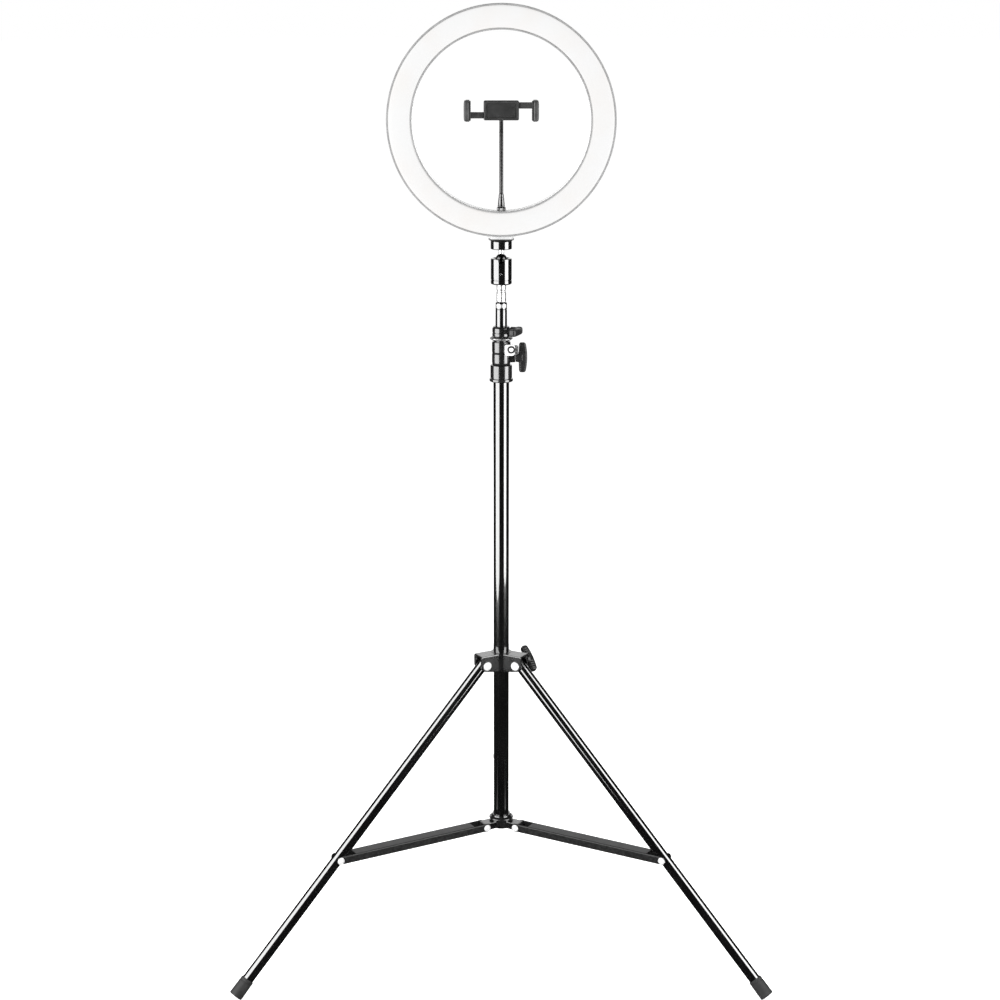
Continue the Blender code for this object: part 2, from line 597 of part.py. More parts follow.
def build_crown(parent):
    """Sliding crown: barrel, three clevises and the boss of its clamp screw."""
    bore = COLUMN_R + RUN
    barrel_r, ear_r, ear, slot_half = 0.0126, 0.0076, 0.0024, LEG_R + RUN
    inside, end, low, rim = 0.0070, PIVOT_R + ear_r, CROWN_BOTTOM + 0.0006, CROWN_TOP + 0.0006
    crown = turned("crown", [
        (barrel_r - 0.0006, rim), (barrel_r, CROWN_TOP - 0.0004), (barrel_r, CROWN_BOTTOM),
        (inside - 0.0010, CROWN_BOTTOM), (inside - 0.0010, rim),
    ], "black_gloss", parent=parent)
    for name, azimuth in LEGS.items():
        frame = leg_frame("crown_side_" + name, azimuth, 0, 0, parent)
        outline = arc((PIVOT_R, CROWN_PIVOT_Z), ear_r, 0, -70, 8)
        outline += [(inside + 0.006, low), (inside, low), (inside, CROWN_TOP)]
        outline += [(end - 0.0016, CROWN_TOP), (end, CROWN_TOP - 0.0016)]
        join(crown, plate("clevis_" + name, outline, 2 * (slot_half + ear), None, parent=frame))
    for name, azimuth in LEGS.items():
        frame = leg_frame("crown_slot_frame_" + name, azimuth, 0, 0, parent)
        cut(crown, block("crown_slot_" + name, (0.0146, -slot_half, 0.330),
                         (0.040, slot_half, CROWN_ROOF), None, parent=frame))
        cut(crown, rod("crown_hole_" + name, 0.0028, -0.014, 0.014, None, 12, parent=frame,
                       location=(PIVOT_R, 0, CROWN_PIVOT_Z), rotation=(pi / 2, 0, 0)))
    boss_r, boss_end, screw_r = 0.0062, 0.0290, 0.0029
    axis = radial_frame("crown_axis", 30, 0, CROWN_SCREW_Z, parent)
    join(crown, rod("crown_boss", boss_r, 0.0090, boss_end, None, 20, parent=axis))
    cut(crown, rod("crown_bore", bore, 0.330, 0.380, None, parent=parent))
    cut(crown, rod("crown_tap", screw_r + GAP, 0.006, boss_end + 0.002, None, 16, parent=axis))
    knob = add_empty("crown_knob_axis", (0, 0, boss_end + GAP), axis)
    t_knob("crown_knob", 0.0350, 0.0050, knob, radians(-48))
    rod("crown_screw", screw_r, COLUMN_R + RUN - boss_end - GAP, 0.0036, "chrome", 16, parent=knob)
    return slot_half + ear


def build_hub(parent):
    """Fixed lower hub: barrel, flange ring and three lugs for the braces."""
    pivot_z, lug_r = HUB_PIVOT_Z, 0.0044
    low, high, flange_r, barrel_r = pivot_z - 0.0046, 0.1590, 0.0148, 0.0128
    lug_half = BRACE_WIDTH / 2 - SHEET - GAP
    hub = turned("hub", [
        (0.0112, high), (flange_r, high - 0.0050), (flange_r, high - 0.0060),
        (barrel_r, high - 0.0070), (barrel_r, low), (0.0070, low), (0.0070, high),
    ], "black_gloss", parent=parent)
    for name, azimuth in LEGS.items():
        frame = leg_frame("hub_side_" + name, azimuth, 0, 0, parent)
        outline = arc((PIVOT_R, pivot_z), lug_r, 90, -90, 8)
        outline += [(0.0080, pivot_z - lug_r), (0.0080, pivot_z + lug_r)]
        join(hub, plate("lug_" + name, outline, 2 * lug_half, None, parent=frame))
        cut(hub, rod("hub_hole_" + name, 0.0024, -0.012, 0.012, None, 12, parent=frame,
                     location=(PIVOT_R, 0, pivot_z), rotation=(pi / 2, 0, 0)))
    cut(hub, rod("hub_bore", COLUMN_R + GAP, low - 0.01, 0.170, None, parent=parent))


def bolt(name, radius, half_grip, head_r, parent, side):
    """A through bolt along the pivot pin, its domed head on the given side."""
    head, nut = half_grip + GAP, half_grip + GAP
    turned(name, [
        (0, head + 0.0026), (head_r * 0.7, head + 0.0023), (head_r, head + 0.0012), (head_r, head),
        (radius, head), (radius, -nut), (head_r * 0.85, -nut), (head_r * 0.85, -nut - 0.0026),
        (0, -nut - 0.0026),
    ], "chrome", 12, parent=parent, rotation=(-side * pi / 2, 0, 0))


def build_leg(name, azimuth, crown, crown_half_width):
    """Leg tube on its crown pivot, with its rubber foot and its bolt."""
    pivot = leg_frame("leg_pivot_" + name, azimuth, PIVOT_R, CROWN_PIVOT_Z, crown)
    slant = add_empty("leg_slant_" + name, (0, 0, 0), pivot, (0, -LEG_ANGLE, 0))
    foot_low = -LEG_END
    leg_low = foot_low + 0.0035
    inner = LEG_R - 0.0012
    leg = tube("leg_" + name, LEG_R, inner, leg_low, LEG_ABOVE, "black_metal", 24, parent=slant)
    cut(leg, rod("leg_hole_" + name, 0.0028, -0.012, 0.012, None, 12, parent=slant,
                 rotation=(pi / 2, 0, 0)))
    sleeve = LEG_R + GAP
    foot_high = foot_low + FOOT_LENGTH
    foot = turned("foot_" + name, [
        (0, leg_low - GAP), (sleeve, leg_low - GAP), (sleeve, foot_high),
        (FOOT_R - 0.0006, foot_high), (FOOT_R - 0.0002, foot_high - 0.001), (FOOT_R, foot_low),
        (0, foot_low),
    ], "rubber", 24, parent=slant)
    cut(foot, FLOOR)
    bolt("leg_bolt_" + name, 0.0025, crown_half_width, 0.0052, pivot, HEAD_SIDE[name])


def build_brace(name, azimuth, parent):
    """Folded sheet channel between the hub and the leg, with its two pins."""
    pivot = leg_frame("brace_pivot_" + name, azimuth, PIVOT_R, HUB_PIVOT_Z, parent)
    half_h, half_w, side = BRACE_HEIGHT / 2, BRACE_WIDTH / 2, HEAD_SIDE[name]
    outline = arc((0, 0), half_h, 90, 270, 8) + arc((BRACE_LENGTH, 0), half_h, 270, 450, 8)
    brace = plate("brace_" + name, outline, BRACE_WIDTH, "dark_sheet", parent=pivot)
    inner = half_w - SHEET
    cut(brace, block("channel_" + name, (-0.02, -inner, -0.02),
                     (BRACE_LENGTH + 0.02, inner, half_h - SHEET), None, parent=pivot))
    web_start, web_end = 0.0170, BRACE_LENGTH - 0.0640
    for end, (low, high) in {"in": (-0.02, web_start), "out": (web_end, 0.25)}.items():
        cut(brace, block("window_%s_%s" % (end, name), (low, -inner, 0), (high, inner, 0.02), None,
                         parent=pivot))
    hole_r, pin_r = 0.0024, 0.0021
    cut(brace, rod("brace_hole_" + name, hole_r, -0.012, 0.012, None, 12, parent=pivot,
                   rotation=(pi / 2, 0, 0)))
    outer = (BRACE_LENGTH, 0, 0)
    facing = (-side * pi / 2, 0, 0)
    cut(brace, rod("pin_hole_" + name, hole_r, inner - 0.001, 0.012, None, 12, parent=pivot,
                   location=outer, rotation=facing))
    join(brace, rod("pin_tail_" + name, 0.0026, half_w - 0.0006, half_w + 0.0014, None, 12,
                    parent=pivot, location=outer, rotation=(side * pi / 2, 0, 0)))
    turned("brace_pin_" + name, [
        (0, half_w + GAP + 0.0022), (0.0024, half_w + GAP + 0.0019), (0.0040, half_w + GAP + 0.0008),
        (0.0040, half_w + GAP), (pin_r, half_w + GAP), (pin_r, inner + 0.0001), (0, inner + 0.0001),
    ], "chrome", 12, parent=pivot, location=outer, rotation=facing)
    bolt("hub_bolt_" + name, pin_r, half_w, 0.0042, pivot, side)


# ---------------------------------------------------------------- assembly
STAND = add_empty("stand_axis", (0, AXIS_Y, 0))
FLOOR = block("floor_block", (-0.5, -0.5, -0.05), (0.5, 0.5, 0), None)

nut_top = build_ring(STAND)
build_platform(STAND)
build_arm(STAND, nut_top)
build_clamp(STAND)
build_ball_head(STAND)
build_spigot(STAND)
build_top_tube(STAND)
build_mid_stage(STAND)
build_column(STAND)
build_hub(STAND)
clevis_half_width = build_crown(STAND)
for leg_name, leg_azimuth in LEGS.items():
    build_leg(leg_name, leg_azimuth, STAND, clevis_half_width)
    build_brace(leg_name, leg_azimuth, STAND)
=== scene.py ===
"""Ring light on a folding tripod stand: looks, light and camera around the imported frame."""
import json
from math import cos, pi, radians, sin, tan

import bmesh
import bpy
from mathutils import Matrix, Vector

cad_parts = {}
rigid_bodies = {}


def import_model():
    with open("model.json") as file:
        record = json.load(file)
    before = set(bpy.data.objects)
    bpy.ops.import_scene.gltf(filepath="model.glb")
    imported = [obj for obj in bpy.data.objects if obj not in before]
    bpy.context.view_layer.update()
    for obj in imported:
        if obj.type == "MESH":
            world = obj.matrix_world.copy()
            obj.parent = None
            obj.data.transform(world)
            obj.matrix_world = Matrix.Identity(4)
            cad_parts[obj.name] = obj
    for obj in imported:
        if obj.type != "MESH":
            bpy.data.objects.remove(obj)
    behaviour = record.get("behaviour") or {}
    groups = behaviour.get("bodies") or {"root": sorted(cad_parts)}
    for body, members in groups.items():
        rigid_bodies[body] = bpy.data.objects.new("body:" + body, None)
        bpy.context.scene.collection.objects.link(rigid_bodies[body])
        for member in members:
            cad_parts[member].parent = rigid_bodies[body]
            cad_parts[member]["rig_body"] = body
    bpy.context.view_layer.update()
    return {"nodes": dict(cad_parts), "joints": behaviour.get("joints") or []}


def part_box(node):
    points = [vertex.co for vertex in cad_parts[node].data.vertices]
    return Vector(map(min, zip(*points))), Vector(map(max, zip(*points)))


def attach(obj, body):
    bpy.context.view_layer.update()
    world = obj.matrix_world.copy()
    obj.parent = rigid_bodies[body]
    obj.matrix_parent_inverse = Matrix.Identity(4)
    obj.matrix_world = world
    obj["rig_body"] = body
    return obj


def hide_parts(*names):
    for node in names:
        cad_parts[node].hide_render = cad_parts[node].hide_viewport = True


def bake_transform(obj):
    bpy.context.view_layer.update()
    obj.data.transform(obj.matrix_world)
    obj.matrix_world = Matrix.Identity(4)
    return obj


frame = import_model()

# ---------------------------------------------------------------- places taken from the frame
MM = 0.001
COLUMN_LOW, COLUMN_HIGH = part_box("column_tube")
AXIS = Vector(((COLUMN_LOW.x + COLUMN_HIGH.x) / 2, (COLUMN_LOW.y + COLUMN_HIGH.y) / 2, 0))
RING_LOW, RING_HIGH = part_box("led_board")
RING_Z = (RING_LOW.z + RING_HIGH.z) / 2
LEG_ANGLE = radians(43.5)
PIVOT_R = 0.0250            # every tripod pivot from the stand's axis
BRACE_PIVOT = 0.2880        # brace's rivet from the leg's pivot, along the leg
UPPER_SCREW_Z, LOWER_SCREW_Z, CROWN_SCREW_Z = 0.7604, 0.7293, 0.3530
LOCK_Z, SEAT_SCREW_Z = 0.8375, 0.8280
COLUMN_R, MID_TUBE_R, TOP_TUBE_R = 0.00915, 0.0080, 0.0067
RUN = 0.00035               # clearance of a piece that slides
CROWN_PIVOT_Z = next(j["pos_m"][2] for j in frame["joints"] if j["name"] == "leg_rear_hinge")
HUB_PIVOT_Z = next(j["pos_m"][2] for j in frame["joints"] if j["name"] == "brace_rear_hinge")
LEGS = {"left": 210.0, "right": 330.0, "rear": 90.0}
HEAD_SIDE = {"left": 1, "right": -1, "rear": 1}


def span(node):
    """Lowest and highest level of a CAD node."""
    low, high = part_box(node)
    return low.z, high.z


def at(x=0.0, y=0.0, z=0.0):
    """A frame parallel to the row's, placed from the stand's axis."""
    return Matrix.Translation(AXIS + Vector((x, y, z)))


def side(azimuth, radius, height):
    """A frame with +X outward along an azimuth and +Z up."""
    turn = Matrix.Rotation(radians(azimuth), 4, "Z")
    return at(z=height) @ turn @ Matrix.Translation((radius, 0, 0))


def about(axis, degrees):
    return Matrix.Rotation(radians(degrees), 4, axis)


# ---------------------------------------------------------------- materials
def graph(name):
    material = bpy.data.materials.new("look_" + name)
    material.use_nodes = True
    tree = material.node_tree
    return material, tree, tree.nodes["Principled BSDF"]


def noise(tree, size, stretch=(1, 1, 1), detail=3.0, roughness=0.55):
    """Noise whose features are about size metres across, stretched along the piece's own axes."""
    coords = tree.nodes.new("ShaderNodeAttribute")
    coords.attribute_name = "own_place"
    mapping = tree.nodes.new("ShaderNodeMapping")
    mapping.inputs["Scale"].default_value = [1 / s for s in stretch]
    texture = tree.nodes.new("ShaderNodeTexNoise")
    texture.inputs["Scale"].default_value = 1 / size
    texture.inputs["Detail"].default_value = detail
    texture.inputs["Roughness"].default_value = roughness
    tree.links.new(coords.outputs["Vector"], mapping.inputs["Vector"])
    tree.links.new(mapping.outputs["Vector"], texture.inputs["Vector"])
    return texture.outputs["Fac"]


def spread(tree, source, low, high):
    """A noise value carried into a range."""
    ramp = tree.nodes.new("ShaderNodeMapRange")
    ramp.inputs["From Min"].default_value = 0.3
    ramp.inputs["From Max"].default_value = 0.7
    ramp.inputs["To Min"].default_value = low
    ramp.inputs["To Max"].default_value = high
    tree.links.new(source, ramp.inputs["Value"])
    return ramp.outputs["Result"]


def tint(tree, source, dark, light, start=0.35, end=0.65):
    """Two colours mixed by a noise value."""
    ramp = tree.nodes.new("ShaderNodeValToRGB")
    ramp.color_ramp.elements[0].position = start
    ramp.color_ramp.elements[1].position = end
    ramp.color_ramp.elements[0].color = (*dark, 1)
    ramp.color_ramp.elements[1].color = (*light, 1)
    tree.links.new(source, ramp.inputs["Fac"])
    return ramp.outputs["Color"]


def bump(tree, shader, layers):
    """Relief from several height layers: (source, depth in metres)."""
    normal = None
    for source, depth in layers:
        node = tree.nodes.new("ShaderNodeBump")
        node.inputs["Strength"].default_value = 1.0
        node.inputs["Distance"].default_value = depth
        tree.links.new(source, node.inputs["Height"])
        if normal:
            tree.links.new(normal, node.inputs["Normal"])
        normal = node.outputs["Normal"]
    tree.links.new(normal, shader.inputs["Normal"])


def noise_on_node(tree, size):
    """The same noise for a kept CAD node, which carries no coordinates of its own."""
    coords = tree.nodes.new("ShaderNodeTexCoord")
    texture = tree.nodes.new("ShaderNodeTexNoise")
    texture.inputs["Scale"].default_value = 1 / size
    tree.links.new(coords.outputs["Object"], texture.inputs["Vector"])
    return texture.outputs["Fac"]


def finish_of(name, dark, light, rough, metallic=0.0, patch=12 * MM, grain=0.5 * MM,
              relief=0.01 * MM, stretch=(1, 1, 1), coat=0.0, coat_rough=0.05, coat_ior=1.5,
              specular=0.5, speckle=None, on_node=False):
    """A painted, moulded or plated surface: broad patches, fine grain, uneven gloss."""
    material, tree, shader = graph(name)
    shader.inputs["Coat IOR"].default_value = coat_ior
    shader.inputs["Metallic"].default_value = metallic
    shader.inputs["Specular IOR Level"].default_value = specular
    shader.inputs["Coat Weight"].default_value = coat
    shader.inputs["Coat Roughness"].default_value = coat_rough
    if on_node:
        broad, fine = noise_on_node(tree, patch), noise_on_node(tree, grain)
    else:
        broad, fine = noise(tree, patch, stretch, 4.0), noise(tree, grain, stretch, 3.0)
    if speckle:
        colour = tint(tree, fine, dark, light, *speckle)
    else:
        colour = tint(tree, broad, dark, light)
    tree.links.new(colour, shader.inputs["Base Color"])
    tree.links.new(spread(tree, broad, rough[0], rough[1]), shader.inputs["Roughness"])
    bump(tree, shader, [(fine, relief), (broad, relief * 1.5)])
    return material


def grey(value, warmth=0.0):
    return (value * (1 + warmth), value, value * (1 - warmth))


LOOK = {
    # The ring shell's white plastic, dimmed to grey 0.40 where the sleeve's is 0.80: painted shade,
    # so the ring's edges read grey on white.
    "shell_white": finish_of("shell_white", grey(0.40), grey(0.43), (0.30, 0.42), grain=0.35 * MM,
                             relief=0.012 * MM, coat=0.15, coat_rough=0.25),
    "black_gloss": finish_of("black_gloss", grey(0.0015), grey(0.003), (0.10, 0.17),
                             grain=0.9 * MM, relief=0.004 * MM, coat=1.0, coat_rough=0.05,
                             coat_ior=2.0, specular=0.8),
    "black_metal": finish_of("black_metal", grey(0.0012), grey(0.003), (0.10, 0.18), grain=1.2 * MM,
                             relief=0.003 * MM, stretch=(1, 1, 6), coat=1.0, coat_rough=0.04,
                             coat_ior=2.0, specular=0.8),
    "cast_black": finish_of("cast_black", grey(0.003), grey(0.008), (0.22, 0.34), grain=0.50 * MM,
                            relief=0.030 * MM, coat=1.0, coat_rough=0.10, coat_ior=1.8),
    "black_plastic": finish_of("black_plastic", grey(0.012), grey(0.020), (0.38, 0.52),
                               grain=0.30 * MM, relief=0.02 * MM),
    "knob_plastic": finish_of("knob_plastic", grey(0.006), grey(0.030), (0.30, 0.48), patch=6 * MM,
                              grain=0.55 * MM, relief=0.07 * MM, speckle=(0.48, 0.72)),
    "grey_plastic": finish_of("grey_plastic", grey(0.030), grey(0.045), (0.35, 0.50),
                              grain=0.35 * MM, relief=0.02 * MM),
    "dark_sheet": finish_of("dark_sheet", grey(0.012), grey(0.028), (0.28, 0.44), metallic=0.5,
                            patch=3 * MM, grain=0.4 * MM, relief=0.02 * MM, stretch=(14, 1, 1)),
    "rubber": finish_of("rubber", grey(0.010), grey(0.018), (0.60, 0.80), grain=0.25 * MM,
                        relief=0.03 * MM),
    "satin_chrome": finish_of("satin_chrome", grey(0.70), grey(0.78), (0.36, 0.46), metallic=1.0,
                              patch=2 * MM, grain=0.2 * MM, relief=0.003 * MM, stretch=(8, 8, 1)),
    "chrome": finish_of("chrome", grey(0.80), grey(0.86), (0.06, 0.13), metallic=1.0,
                        patch=3 * MM, grain=0.4 * MM, relief=0.002 * MM),
    "brass": finish_of("brass", (0.62, 0.45, 0.20), (0.74, 0.56, 0.27), (0.22, 0.36), metallic=1.0,
                       patch=2 * MM, grain=0.2 * MM, relief=0.004 * MM, on_node=True),
    "board": finish_of("board", (0.80, 0.79, 0.74), (0.86, 0.85, 0.80), (0.45, 0.6), patch=2 * MM,
                       grain=0.3 * MM, relief=0.01 * MM, on_node=True),
    "screw_chrome": finish_of("screw_chrome", grey(0.80), grey(0.86), (0.10, 0.20), metallic=1.0,
                              patch=2 * MM, grain=0.3 * MM, relief=0.003 * MM, on_node=True),
    "dark_chrome": finish_of("dark_chrome", grey(0.05), grey(0.08), (0.10, 0.18), metallic=1.0,
                             patch=3 * MM, grain=0.4 * MM, relief=0.002 * MM),
    "worn_chrome": finish_of("worn_chrome", grey(0.16), grey(0.55), (0.34, 0.52), metallic=1.0,
                             patch=2.5 * MM, grain=0.8 * MM, relief=0.06 * MM),
    "zinc": finish_of("zinc", grey(0.62), grey(0.80), (0.30, 0.45), metallic=0.35, patch=2 * MM,
                      grain=0.5 * MM, relief=0.02 * MM),
    "gooseneck_black": finish_of("gooseneck_black", grey(0.003), grey(0.009), (0.22, 0.34),
                                 grain=0.3 * MM, relief=0.01 * MM, coat=0.4, coat_rough=0.15),
    "groove_black": finish_of("groove_black", grey(0.002), grey(0.005), (0.5, 0.7),
                              grain=0.3 * MM, relief=0.01 * MM, specular=0.2),
    # Grey for the rings along the ring's outer and inner front edges: painted shade standing in for
    # the white shell's shaded edges.
    "edge_shade_grey": finish_of("edge_shade_grey", grey(0.17), grey(0.21), (0.35, 0.50), grain=0.3 * MM,
                       relief=0.01 * MM),
    "sleeve_white": finish_of("sleeve_white", grey(0.80), grey(0.86), (0.30, 0.42),
                              grain=0.35 * MM, relief=0.012 * MM),
}


def lit_material():
    """Milky diffuser over warm and cool diodes, its glow tinted in broad soft clouds."""
    material, tree, shader = graph("diffuser")
    shader.inputs["Base Color"].default_value = (0.12, 0.12, 0.12, 1)
    shader.inputs["Emission Strength"].default_value = 0.68
    shader.inputs["Specular IOR Level"].default_value = 0.2
    cloud = noise(tree, 45 * MM, detail=2.0)
    colour = tint(tree, cloud, (0.962, 0.935, 0.915), (0.975, 0.975, 0.975), 0.30, 0.62)
    tree.links.new(colour, shader.inputs["Emission Color"])
    fine = noise(tree, 0.5 * MM)
    tree.links.new(spread(tree, fine, 0.36, 0.50), shader.inputs["Roughness"])
    bump(tree, shader, [(fine, 0.01 * MM)])
    return material


LOOK["diffuser"] = lit_material()


# ---------------------------------------------------------------- mesh helpers
def new_object(name, bm, matrix=None):
    mesh = bpy.data.meshes.new(name)
    bmesh.ops.recalc_face_normals(bm, faces=bm.faces)
    bm.to_mesh(mesh)
    bm.free()
    obj = bpy.data.objects.new(name, mesh)
    bpy.context.scene.collection.objects.link(obj)
    obj.matrix_world = matrix or Matrix.Identity(4)
    return obj


def rounded(points, closed=True, steps=4):
    """Fillet an outline: a point's third number is its radius."""
    result, count = [], len(points)
    for i, point in enumerate(points):
        here = Vector(point[:2])
        radius = point[2] if len(point) > 2 else 0
        if not radius or (not closed and i in (0, count - 1)):
            result.append(here)
            continue
        back = Vector(points[i - 1][:2]) - here
        on = Vector(points[(i + 1) % count][:2]) - here
        half = back.angle(on) / 2
        if half > 1.55:
            result.append(here)
            continue
        reach = min(radius / tan(half), back.length * 0.48, on.length * 0.48)
        radius = reach * tan(half)
        middle = here + (back.normalized() + on.normalized()).normalized() * (radius / sin(half))
        first = here + back.normalized() * reach - middle
        last = here + on.normalized() * reach - middle
        sweep = first.angle(last)
        for k in range(steps + 1):
            t = k / steps
            arm = first * sin((1 - t) * sweep) + last * sin(t * sweep)
            result.append(middle + arm / sin(sweep))
    return result


def lathe(name, outline, matrix, steps=96, ripple=None):
    """Turn (radius, level, fillet) points about local Z.

    An outline that starts and ends on the axis closes there, any other is a ring.
    ripple is (count, depth, low, high, inner): flutes on what lies outside inner.
    """
    solid = outline[0][0] == 0 and outline[-1][0] == 0
    points = rounded(outline, not solid)
    bm = bmesh.new()
    rings = []
    for radius, level in points:
        if radius < 1e-7:
            rings.append([bm.verts.new((0, 0, level))])
            continue
        ring = []
        for k in range(steps):
            angle = 2 * pi * k / steps
            r = radius
            if ripple and ripple[2] <= level <= ripple[3] and radius > ripple[4]:
                r -= ripple[1] * (0.5 - 0.5 * cos(ripple[0] * angle)) ** 1.5
            ring.append(bm.verts.new((r * cos(angle), r * sin(angle), level)))
        rings.append(ring)
    pairs = list(zip(rings, rings[1:]))
    if not solid:
        pairs.append((rings[-1], rings[0]))
    for one, two in pairs:
        for k in range(steps):
            n = (k + 1) % steps
            corners = [one[k % len(one)], one[n % len(one)], two[n % len(two)], two[k % len(two)]]
            corners = list(dict.fromkeys(corners))
            if len(corners) > 2:
                bm.faces.new(corners)
    return new_object(name, bm, matrix)


def loft(name, sections, matrix):
    """Skin a row of equal loops of points, closed at both ends."""
    bm = bmesh.new()
    loops = [[bm.verts.new(p) for p in section] for section in sections]
    count = len(loops[0])
    for one, two in zip(loops, loops[1:]):
        for k in range(count):
            n = (k + 1) % count
            bm.faces.new((one[k], one[n], two[n], two[k]))
    bm.faces.new(loops[0])
    bm.faces.new(loops[-1])
    return new_object(name, bm, matrix)


def oval(half_x, half_y, power, count=48):
    """A rounded rectangle: power 2 is an ellipse, a higher one is squarer."""
    loop = []
    for k in range(count):
        c, s = cos(2 * pi * k / count), sin(2 * pi * k / count)
        loop.append((half_x * abs(c) ** (2 / power) * (1 if c > 0 else -1),
                     half_y * abs(s) ** (2 / power) * (1 if s > 0 else -1)))
    return loop


def box(name, low, high, matrix, radius=0.0, segments=3):
    """A box between two corners of its frame, with rounded edges."""
    bm = bmesh.new()
    bmesh.ops.create_cube(bm, size=1.0)
    low, high = Vector(low), Vector(high)
    bmesh.ops.scale(bm, vec=high - low, verts=bm.verts)
    bmesh.ops.translate(bm, vec=(low + high) / 2, verts=bm.verts)
    if radius:
        bmesh.ops.bevel(bm, geom=list(bm.edges), offset=radius, segments=segments, profile=0.5,
                        affect="EDGES")
    return new_object(name, bm, matrix)


def prism(name, outline, half, matrix):
    """An outline in local XZ, made thick along Y from -half to half, or between two levels."""
    low, high = half if isinstance(half, tuple) else (-half, half)
    bm = bmesh.new()
    near = [bm.verts.new((p[0], low, p[1])) for p in outline]
    far = [bm.verts.new((p[0], high, p[1])) for p in outline]
    count = len(near)
    for k in range(count):
        n = (k + 1) % count
        bm.faces.new((near[k], near[n], far[n], far[k]))
    bm.faces.new(near)
    bm.faces.new(far)
    return new_object(name, bm, matrix)


def apply(obj):
    """Bake the modifiers into the mesh."""
    bpy.context.view_layer.update()
    depsgraph = bpy.context.evaluated_depsgraph_get()
    mesh = bpy.data.meshes.new_from_object(obj.evaluated_get(depsgraph))
    obj.modifiers.clear()
    obj.data = mesh
    return obj


def combine(target, operation, *others):
    for other in others:
        boolean = target.modifiers.new("shape", "BOOLEAN")
        boolean.operation = operation
        boolean.object = other
        boolean.solver = "EXACT"
    apply(target)
    for other in others:
        bpy.data.objects.remove(other, do_unlink=True)
    return target


def add(target, *others):
    return combine(target, "UNION", *others)


def cut(target, *others):
    return combine(target, "DIFFERENCE", *others)


def rod(radius, low, high, matrix, steps=48):
    """A plain turned tool for cutting or joining."""
    return lathe("tool", [(0, high), (radius, high), (radius, low), (0, low)], matrix, steps)


def soften(obj, width, segments=2):
    """Rounded edges where faces meet sharply."""
    bevel = obj.modifiers.new("soften", "BEVEL")
    bevel.width = width
    bevel.segments = segments
    bevel.limit_method = "ANGLE"
    bevel.angle_limit = radians(32)
    bevel.miter_outer = "MITER_ARC"
    return apply(obj)


def cast(obj, voxel, rounds):
    """Melt joined shapes into one cast skin with soft inner and outer corners."""
    remesh = obj.modifiers.new("skin", "REMESH")
    remesh.mode = "VOXEL"
    remesh.voxel_size = voxel
    smooth = obj.modifiers.new("smooth", "SMOOTH")
    smooth.factor = 0.5
    smooth.iterations = rounds
    return apply(obj)


def dress(obj, look, angle=40):
    """Smooth shading, the piece's own coordinates for its grain, and its material."""
    for polygon in obj.data.polygons:
        polygon.use_smooth = True
    obj.data.set_sharp_from_angle(angle=radians(angle))
    own = obj.data.attributes.new("own_place", "FLOAT_VECTOR", "POINT")
    own.data.foreach_set("vector", [n for vertex in obj.data.vertices for n in vertex.co])
    obj.data.transform(obj.matrix_world)
    obj.matrix_world = Matrix.Identity(4)
    obj.data.materials.clear()
    obj.data.materials.append(LOOK[look])


def piece(obj, look, *nodes, body=None, angle=40):
    """Dress a finished mesh, ride it on its body, and hide the CAD nodes it stands for."""
    dress(obj, look, angle)
    weighted = obj.modifiers.new("normals", "WEIGHTED_NORMAL")
    weighted.keep_sharp = True
    if nodes:
        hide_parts(*nodes)
    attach(obj, body or frame["nodes"][nodes[0]]["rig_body"])
    return obj


def merged(name, objects):
    """Several closed shells as one mesh, in the first one's frame."""
    base = objects[0].matrix_world.inverted()
    bm = bmesh.new()
    for obj in objects:
        part = bmesh.new()
        part.from_mesh(obj.data)
        part.transform(base @ obj.matrix_world)
        mesh = bpy.data.meshes.new("part")
        part.to_mesh(mesh)
        part.free()
        bm.from_mesh(mesh)
        bpy.data.meshes.remove(mesh)
    matrix = objects[0].matrix_world.copy()
    for obj in objects:
        bpy.data.objects.remove(obj, do_unlink=True)
    return new_object(name, bm, matrix)


def ball_outline(radius, middle=0.0, count=24):
    """Half a circle from the top of the axis to its bottom."""
    points = [(radius * sin(pi * k / count), middle + radius * cos(pi * k / count))
              for k in range(1, count)]
    return [(0, middle + radius)] + points + [(0, middle - radius)]


# ---------------------------------------------------------------- ring head
RING_R, HOLE_R, FRONT, REAR, WALL = 0.1307, 0.1017, 0.0100, 0.0090, 0.0018
MIDDLE_R = (RING_R + HOLE_R) / 2
TO_FRONT, TO_REAR = about("X", 90), about("X", -90)
RING = at(z=RING_Z) @ TO_FRONT
RIM = FRONT - 0.0008
# Back of the grey edge rings, which paint shade along the ring's outer and inner edges.
SHADE_EDGE_BACK = RIM - 0.0014
SLEEVE_LOW = -REAR + 0.0046


def stacked(name, rows):
    """Rounded rectangles at (level, half width, half depth), skinned upward."""
    return loft(name, [[(x, y, z) for x, y in oval(a, b, 5, 72)] for z, a, b in rows], at())


